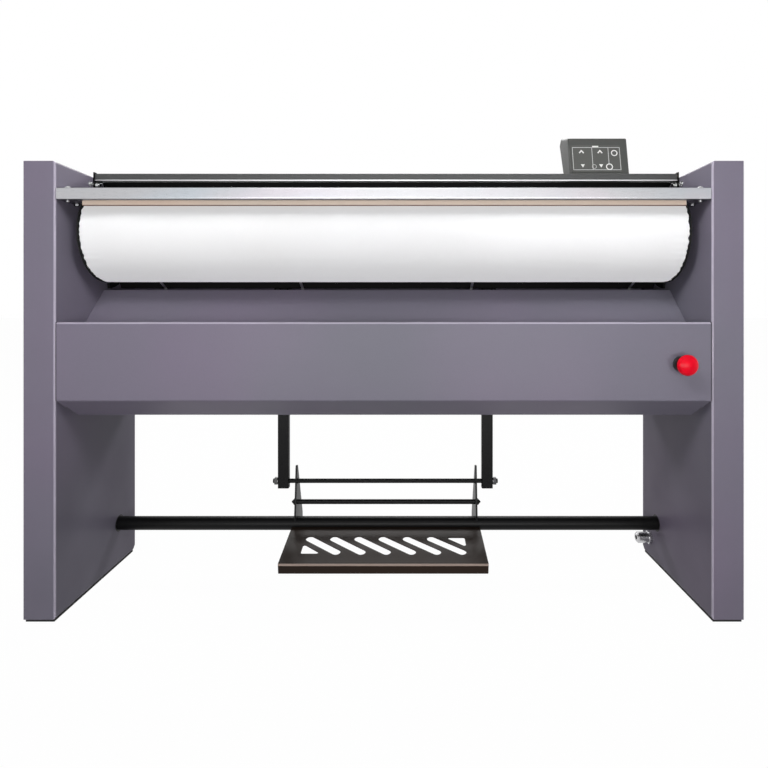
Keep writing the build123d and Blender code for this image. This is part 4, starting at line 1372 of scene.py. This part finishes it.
@dataclass
class ControlBox(Assembly):
    """Leaning box with its membrane plate and the print on it."""

    lean: float = math.radians(11.3)
    plate: float = 0.0006
    ink: float = 0.0002
    line: float = 0.0015
    ring_steps: int = 36
    half_width: float = 0.0620
    bottom: float = -0.0315
    top: float = 0.0316
    first_divider: float = -0.0108
    second_divider: float = 0.0320
    second_foot: float = -0.0132
    up_arrows: tuple[Spot, ...] = ((-0.0387, 0.0196), (0.0102, 0.0196))
    down_arrows: tuple[Spot, ...] = ((-0.0372, -0.0191), (0.0109, -0.0191))
    chevron_half: float = 0.0048
    chevron_top: float = 0.0032
    chevron_foot: float = 0.0026
    chevron_line: float = 0.0032
    triangle: float = 0.0062
    small_ring: Ring = Ring(centre=(-0.0072, -0.0224), radius=0.0060, width=0.0012)
    bold_rings: tuple[Ring, ...] = (
        Ring(centre=(0.0477, 0.0159), radius=0.0086, width=0.0026),
        Ring(centre=(0.0324, -0.0230), radius=0.0091, width=0.0026),
    )
    bar: tuple[Spot, Spot] = ((-0.0075, 0.0345), (0.0051, 0.0345))
    bar_line: float = 0.0036

    def face(self) -> Matrix:
        """Matrix from the drawing of the print to the plate's outer face."""
        low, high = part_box("control_panel")
        outward = Vector((0, -math.cos(self.lean), math.sin(self.lean)))
        upward = Vector((0, math.sin(self.lean), math.cos(self.lean)))
        middle = (low + high) / 2 + outward * self.plate
        return facing(middle, outward, upward)

    def stroke(self, draft: bmesh.types.BMesh, start: Spot, end: Spot, width: float) -> None:
        """Add a straight stroke.

        Args:
            draft: Flat drawing that it is added to.
            start: Its first end.
            end: Its last end.
            width: Its width.
        """
        first, last = Vector((*start, 0)), Vector((*end, 0))
        run = last - first
        place = (
            Matrix.Translation((first + last) / 2)
            @ Matrix.Rotation(math.atan2(run.y, run.x), 4, "Z")
            @ Matrix.Diagonal((run.length + width, width, 1, 1))
        )
        bmesh.ops.create_grid(draft, x_segments=1, y_segments=1, size=0.5, matrix=place)

    def ring(self, draft: bmesh.types.BMesh, ring: Ring) -> None:
        """Add a ring.

        Args:
            draft: Flat drawing that it is added to.
            ring: The ring.
        """
        place = Matrix.Translation((*ring.centre, 0))
        made = bmesh.ops.create_circle(
            draft, cap_ends=True, segments=self.ring_steps, radius=ring.radius, matrix=place
        )
        disc = made["verts"][0].link_faces[0]
        bmesh.ops.inset_region(
            draft, faces=[disc], thickness=ring.width, use_boundary=True, use_even_offset=True
        )
        bmesh.ops.delete(draft, geom=[disc], context="FACES")

    def arrow_up(self, draft: bmesh.types.BMesh, x: float, y: float) -> None:
        """Add a bold chevron that points up."""
        for side in (-1, 1):
            foot = (x + side * self.chevron_half, y - self.chevron_foot)
            self.stroke(draft, (x, y + self.chevron_top), foot, self.chevron_line)

    def arrow_down(self, draft: bmesh.types.BMesh, x: float, y: float) -> None:
        """Add a solid triangle that points down."""
        place = Matrix.Translation((x, y, 0)) @ Matrix.Rotation(math.pi, 4, "Z")
        bmesh.ops.create_circle(
            draft, cap_ends=True, segments=3, radius=self.triangle, matrix=place
        )

    def printed(self, name: str, draft: bmesh.types.BMesh, ink: Finish) -> None:
        """Carry a flat drawing to the plate and give it the thickness of ink.

        Args:
            name: Name of the piece.
            draft: The drawing.
            ink: Its finish.
        """
        raised = bmesh.ops.extrude_face_region(draft, geom=draft.faces[:])
        verts = [item for item in raised["geom"] if isinstance(item, bmesh.types.BMVert)]
        bmesh.ops.translate(draft, verts=verts, vec=(0, 0, self.ink))
        bmesh.ops.transform(draft, matrix=self.face(), verts=draft.verts[:])
        finished(name, draft, ink, Body.FRAME)

    def build(self) -> None:
        """Frame lines, arrows, rings and the short bar."""
        lines = bmesh.new()
        corners = [
            (-self.half_width, self.top),
            (self.half_width, self.top),
            (self.half_width, self.bottom),
            (-self.half_width, self.bottom),
        ]
        for start, end in zip(corners, corners[1:] + corners[:1]):
            self.stroke(lines, start, end, self.line)
        first, second = self.first_divider, self.second_divider
        self.stroke(lines, (first, self.top), (first, self.bottom), self.line)
        self.stroke(lines, (second, self.top), (second, self.second_foot), self.line)
        self.ring(lines, self.small_ring)
        self.printed("panel_lines", lines, GREY_INK)
        signs = bmesh.new()
        for x, y in self.up_arrows:
            self.arrow_up(signs, x, y)
        for x, y in self.down_arrows:
            self.arrow_down(signs, x, y)
        for ring in self.bold_rings:
            self.ring(signs, ring)
        self.stroke(signs, *self.bar, self.bar_line)
        self.printed("panel_signs", signs, WHITE_INK)

    def dress(self) -> None:
        """Give the nodes their finishes."""
        dress(CONTROL_GREY, "control_box")
        dress(MEMBRANE, "control_panel")


@dataclass
class StopButton(Assembly):
    """Emergency stop button."""

    def dress(self) -> None:
        """Give the nodes their finishes."""
        dress(STOP_RED, "stop_head")
        dress(BLACK_PLASTIC, "stop_collar", "stop_stem", "stop_block")


@dataclass
class PaddedRoller(Assembly):
    """Padded roller under its gathered cloth."""

    segments: int = 240
    body_steps: int = 46
    shoulder: float = 0.0080
    end_rings: tuple[float, ...] = (0.012, 0.017, 0.023, 0.030, 0.039)
    hole: float = 0.0812
    bore_edge: tuple[Spot, ...] = (
        (0.0065, 0.0),
        (0.0012, 0.0008),
        (0.0002, 0.0055),
        (0.0, 0.0130),
        (0.0002, 0.0200),
    )
    outer_edge: tuple[Spot, ...] = (
        (0.0003, 0.0070),
        (0.0008, 0.0034),
        (0.0018, 0.0015),
        (0.0038, 0.0004),
    )
    wall_inset: float = 0.0068
    thickness: float = 0.0096
    pleats: int = 46
    pleat_depth: float = 0.0007
    pleat_wander: float = 5.0
    wander_pitch: float = 3.1
    wander_seed: float = 7.0
    uneven: float = 0.7
    uneven_pitch: float = 9.0
    uneven_seed: float = 3.0
    ragged: float = 0.0030
    ragged_fold: float = 0.35
    fray_pitch: float = 26.0
    slack: float = 0.0005
    slack_along: float = 5.0
    slack_around: float = 1.6
    gather_reach: float = 0.050
    gather_run: float = 0.046
    skin: float = 0.009
    end_skin: float = 0.004
    rim_steps: int = 120
    rim_out: float = 0.0007
    rim_shoulder: float = 0.00042
    rim_in: float = 0.0022
    rim_edge: float = 0.0004
    rim_height: float = 0.006
    rim_round: float = 0.0006

    def measure(self) -> tuple[Vector, float, float]:
        """Middle of the padding, half of the cloth's length and its outer radius."""
        low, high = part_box("roller_padding")
        return (low + high) / 2, high.x - self.rim_in, (high.z - low.z) / 2

    def profile(self) -> list[Spot]:
        """Outline of the cloth's section as places along X with their radii.

        Returns:
            Points of the closed outline.
        """
        _, half, radius = self.measure()
        end = [(half - inset, self.hole + rise) for inset, rise in self.bore_edge]
        end += [(half - inset, radius - drop) for inset, drop in self.outer_edge]
        flat = half - self.end_rings[-1] - self.shoulder
        pitch = 2 * flat / self.body_steps
        middle = [flat - pitch * index for index in range(self.body_steps + 1)]
        rings = [half - self.shoulder] + [half - place for place in self.end_rings]
        steps = rings + middle + [-x for x in reversed(rings)]
        left = [(-x, r) for x, r in reversed(end)]
        deep, inner = half - self.wall_inset, radius - self.thickness
        return end + [(x, radius) for x in steps] + left + [(-deep, inner), (deep, inner)]

    def draped(self, x: float, radius: float, angle: float, half: float) -> Spot:
        """Where the cloth lies once it is gathered.

        Args:
            x: Place along the roller.
            radius: Radius before the gathers.
            angle: Angle about the roller.
            half: Half of the roller's length.

        Returns:
            New place along X and new radius.
        """
        side = 1 if x > 0 else -1
        ring = Vector((math.cos(angle), math.sin(angle), 0.0))
        wander = noise.noise(ring * self.wander_pitch + Vector((0, 0, self.wander_seed * side)))
        phase = self.pleats * angle + self.pleat_wander * wander
        share = noise.noise(ring * self.uneven_pitch + Vector((0, 0, self.uneven_seed + side)))
        depth = 0.5 + 0.5 * math.sin(phase) + self.uneven * share
        near = max(0.0, min(1.0, (abs(x) - half + self.gather_reach) / self.gather_run))
        near = near * near * (3 - 2 * near)
        around = self.slack_around
        spot = Vector((x * self.slack_along, ring.x * around, ring.y * around))
        swell = self.slack * (0.5 + 0.5 * noise.noise(spot))
        radius -= near * self.pleat_depth * max(0.0, depth) + swell
        loose = noise.noise(ring * self.fray_pitch + Vector((0, 0, side)))
        fray = max(0.0, loose) + max(0.0, share)
        x -= side * near * near * self.ragged * (self.ragged_fold * max(0.0, depth) + fray)
        return x, radius

    def rim(self, name: str, side: int) -> None:
        """Black ring that closes the padding at one end.

        Args:
            name: Name of the piece.
            side: Left or right end, as -1 or 1.
        """
        centre, half, radius = self.measure()
        outer = radius - self.rim_edge
        inner = outer - self.rim_height
        end = half + self.rim_in
        outline = [
            (half, inner),
            (half, outer),
            (end + self.rim_shoulder, outer),
            (end + self.rim_out, outer - self.rim_round),
            (end + self.rim_out, inner),
        ]
        draft = bmesh.new()
        add_turned(draft, [(side * x, r) for x, r in outline], centre, self.rim_steps)
        finished(name, draft, RUBBER, Body.ROLLER)

    def build(self) -> None:
        """Spin the outline, gather it at the ends and lay the weave on it."""
        self.rim("roller_rim_left", -1)
        self.rim("roller_rim_right", 1)
        centre, half, outer = self.measure()
        draft = bmesh.new()
        add_turned(draft, self.profile(), centre, self.segments)
        for vert in draft.verts:
            y, z = vert.co.y - centre.y, vert.co.z - centre.z
            radius, angle = math.hypot(y, z), math.atan2(z, y)
            if radius > outer - self.skin or abs(vert.co.x) > half - self.end_skin:
                x, radius = self.draped(vert.co.x, radius, angle, half)
                y, z = radius * math.cos(angle), radius * math.sin(angle)
                vert.co = Vector((x, centre.y + y, centre.z + z))
        weave = draft.loops.layers.uv.new("weave")
        for face in draft.faces:
            middle = face.calc_center_median()
            start = math.atan2(middle.z - centre.z, middle.y - centre.y)
            for corner in face.loops:
                point = corner.vert.co
                angle = math.atan2(point.z - centre.z, point.y - centre.y)
                turn = math.remainder(angle - start, 2 * math.pi) + start
                radius = math.hypot(point.y - centre.y, point.z - centre.z)
                corner[weave].uv = (point.x + outer - radius, turn * outer)
        cover = finished("roller_cover", draft, ROLLER_CLOTH, Body.ROLLER, 180.0)
        smooth = cover.modifiers.new("smooth", "SUBSURF")
        smooth.levels = 1
        smooth.render_levels = 1
        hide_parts("roller_padding")

    def dress(self) -> None:
        """Give the nodes their finishes."""
        dress(ROLLER_CLOTH, "roller_padding")
        dress(BRIGHT_STEEL, "roller_tube", "roller_end_left", "roller_end_right")
        dress(CAST_IRON, "roller_bearings", "roller_pulley")


@dataclass
class BeltDrive(Assembly):
    """Gearmotor, pulleys and belt."""

    def dress(self) -> None:
        """Give the nodes their finishes."""
        dress(MOTOR_PAINT, "motor_body")
        dress(CAST_IRON, "gearbox", "motor_pulley")
        dress(BLACK_PAINT, "motor_bracket")
        dress(BRIGHT_STEEL, "motor_shaft")
        dress(BELT_RUBBER, "drive_belt")


@dataclass
class HeatedChest(Assembly):
    """Trough behind the roller with its heaters and cover."""

    def dress(self) -> None:
        """Give the nodes their finishes."""
        dress(ALUMINIUM, "chest_plate")
        dress(HEATER_STEEL, "heaters")
        dress(GALVANISED, "heater_straps")
        # Near-black cover and ends: painted shade for the dark space under the roller.
        dress(CHEST_SHADE_BLACK, "chest_cover", "chest_ends")
        dress(BRIGHT_STEEL, "chest_pivots")


@dataclass
class Linkage(Assembly):
    """Levers and upper rod."""

    def dress(self) -> None:
        """Give the nodes their finishes."""
        dress(BLACK_PAINT, "lever_left", "lever_right", "lever_saddles", "upper_rod")
        dress(DARK_ZINC, "upper_rod_nuts")


@dataclass
class Pedal(Assembly):
    """Foot pedal with its axle, blades and lower rod."""

    def dress(self) -> None:
        """Give the nodes their finishes."""
        dress(TREAD_PAINT, "pedal_tread")
        dress(BLACK_PAINT, "pedal_axle", "pedal_blade_left", "pedal_blade_right")
        dress(BLACK_PAINT, "lower_rod", "lower_rod_nuts")
        dress(BLACK_PLASTIC, "axle_bushes")


@dataclass
class CableGland(Assembly):
    """Gland on the right-hand post."""

    def dress(self) -> None:
        """Give the nodes their finishes."""
        dress(GLAND_METAL, "gland_body", "gland_cap")


@dataclass(frozen=True)
class SoftBox:
    """Rectangular lamp: where it stands, what it faces, its size, watts and cone."""

    name: str
    place: Corner
    target: Corner
    size: Spot
    power: float
    spread: float = math.pi

    def mirrored(self, share: float = 1.0) -> "SoftBox":
        """The same lamp on the machine's other side, with a share of its power."""
        (x, y, z), (to_x, to_y, to_z) = self.place, self.target
        power = self.power * share
        return SoftBox(
            self.name, (-x, y, z), (-to_x, to_y, to_z), self.size, power, self.spread
        )


FRONT_BOX = SoftBox(
    "front_box",
    place=(0.2, -5.5, 3.4),
    target=(0.2, 0.0, 3.4),
    size=(4.0, 6.6),
    power=41.0,
)
LOW_BOX = SoftBox(
    "low_box",
    place=(0.1, -2.6, 0.42),
    target=(0.1, 0.0, 0.62),
    size=(2.6, 0.76),
    power=44.0,
)
TOP_BOX = SoftBox(
    "top_box",
    place=(0.0, -0.4, 3.2),
    target=(0.0, 0.0, 0.7),
    size=(3.0, 2.0),
    power=8.0,
)
HOOD = SoftBox("hood", place=(0.0, -1.0, 1.9), target=(0.0, -0.1, 0.85), size=(1.2, 0.5), power=3.0)
RIDGE = SoftBox(
    "ridge",
    place=(0.0, -1.5, 2.8),
    target=(0.0, 0.0, 0.7),
    size=(3.4, 0.09),
    power=5.0,
)
BACK_BOX = SoftBox(
    "back_box",
    place=(0.0, 3.0, 2.9),
    target=(0.0, 0.2, 0.7),
    size=(3.2, 0.8),
    power=88.0,
)
SIDE_BOX = SoftBox(
    "side_box",
    place=(0.3, -0.9, 1.55),
    target=(-0.73, -0.02, 0.86),
    size=(0.4, 0.4),
    power=1.05,
    spread=math.radians(64),
)
FLANK_BOX = SoftBox(
    "flank_box",
    place=(-3.0, 0.15, 0.5),
    target=(-0.8, 0.02, 0.5),
    size=(0.36, 0.8),
    power=26.0,
)


@dataclass
class Studio:
    """Camera, lamps, white surroundings and floor."""

    lens: float = 25.08
    shift: Spot = (-0.02995, -0.1016)
    camera_place: Corner = (0.0523, -1.353, 0.7075)
    camera_reach: Spot = (0.05, 60.0)
    white: Colour = (1, 1, 1, 1)
    soft_white: Colour = (0.97, 0.98, 1, 1)
    ambient: float = 0.11
    right_share: float = 1.25
    floor_size: float = 60.0
    floor_light: float = 0.985
    floor_seen: Colour = (0.9, 0.9, 0.9, 1)
    floor_unseen: Colour = (0.05, 0.05, 0.053, 1)

    def camera(self) -> None:
        """Camera at the photograph's place, level and square to the machine."""
        data = bpy.data.cameras.new("photo_camera")
        data.lens = self.lens
        data.sensor_width = 36.0
        data.shift_x, data.shift_y = self.shift
        data.clip_start, data.clip_end = self.camera_reach
        camera = bpy.data.objects.new("photo_camera", data)
        camera.location = self.camera_place
        camera.rotation_euler = (math.pi / 2, 0, 0)
        bpy.context.scene.collection.objects.link(camera)
        bpy.context.scene.camera = camera

    def lamp(self, box: SoftBox) -> None:
        """Add a lamp.

        Args:
            box: The lamp.
        """
        data = bpy.data.lights.new(box.name, "AREA")
        data.spread = box.spread
        data.shape = "RECTANGLE"
        data.size, data.size_y = box.size
        data.energy = box.power
        lamp = bpy.data.objects.new(box.name, data)
        lamp.location = box.place
        run = Vector(box.target) - Vector(box.place)
        lamp.rotation_euler = run.to_track_quat("-Z", "Y").to_euler()
        bpy.context.scene.collection.objects.link(lamp)

    def surroundings(self) -> None:
        """White to the camera and in reflections, and a soft light for the rest."""
        world = bpy.data.worlds.new("studio")
        bpy.context.scene.world = world
        sheet = ShaderSheet(world)
        kind = "ShaderNodeBackground"
        soft = sheet.node(kind, {}, {"Color": self.soft_white, "Strength": self.ambient})
        white = sheet.node(kind, {}, {"Color": self.white, "Strength": 1.0})
        mix = sheet.node("ShaderNodeMixShader", {}, {0: sheet.seen(), 1: soft, 2: white})
        sheet.close("ShaderNodeOutputWorld", mix)

    def floor(self) -> None:
        """White floor that keeps a faint shadow."""
        draft = bmesh.new()
        bmesh.ops.create_grid(draft, x_segments=2, y_segments=2, size=self.floor_size / 2)
        data = bpy.data.meshes.new("studio_floor")
        draft.to_mesh(data)
        draft.free()
        floor = bpy.data.objects.new("studio_floor", data)
        bpy.context.scene.collection.objects.link(floor)
        sheet = ShaderSheet(bpy.data.materials.new("studio_floor_white"))
        seen = sheet.seen()
        colour = sheet.blend(seen, self.floor_unseen, self.floor_seen)
        matt = sheet.node("ShaderNodeBsdfDiffuse", {}, {"Color": colour})
        glow = sheet.node("ShaderNodeEmission", {}, {"Color": self.white, "Strength": 1.0})
        sockets = {0: seen * self.floor_light, 1: matt, 2: glow}
        mix = sheet.node("ShaderNodeMixShader", {}, sockets)
        sheet.close("ShaderNodeOutputMaterial", mix)
        data.materials.append(sheet.owner)

    def build(self) -> None:
        """Set up the whole studio."""
        bpy.context.scene.view_settings.view_transform = "Standard"
        self.camera()
        self.surroundings()
        self.floor()
        left = [SIDE_BOX, FLANK_BOX]
        right = [SIDE_BOX.mirrored(self.right_share), FLANK_BOX.mirrored()]
        for box in [FRONT_BOX, LOW_BOX, TOP_BOX, HOOD, RIDGE, BACK_BOX] + left + right:
            self.lamp(box)


def main() -> None:
    """Build and dress the sub-assemblies in order."""
    logging.basicConfig(level=logging.INFO, format="%(name)s %(message)s")
    Studio().build()
    parts = [
        Posts(),
        FrontPanels(),
        HandGuard(),
        BackCovers(),
        ControlBox(),
        StopButton(),
        PaddedRoller(),
        BeltDrive(),
        HeatedChest(),
        Linkage(),
        Pedal(),
        CableGland(),
    ]
    for part in parts:
        part.build()
        part.dress()
        log.info("%s is dressed", type(part).__name__)


if __name__ == "__main__":
    main()
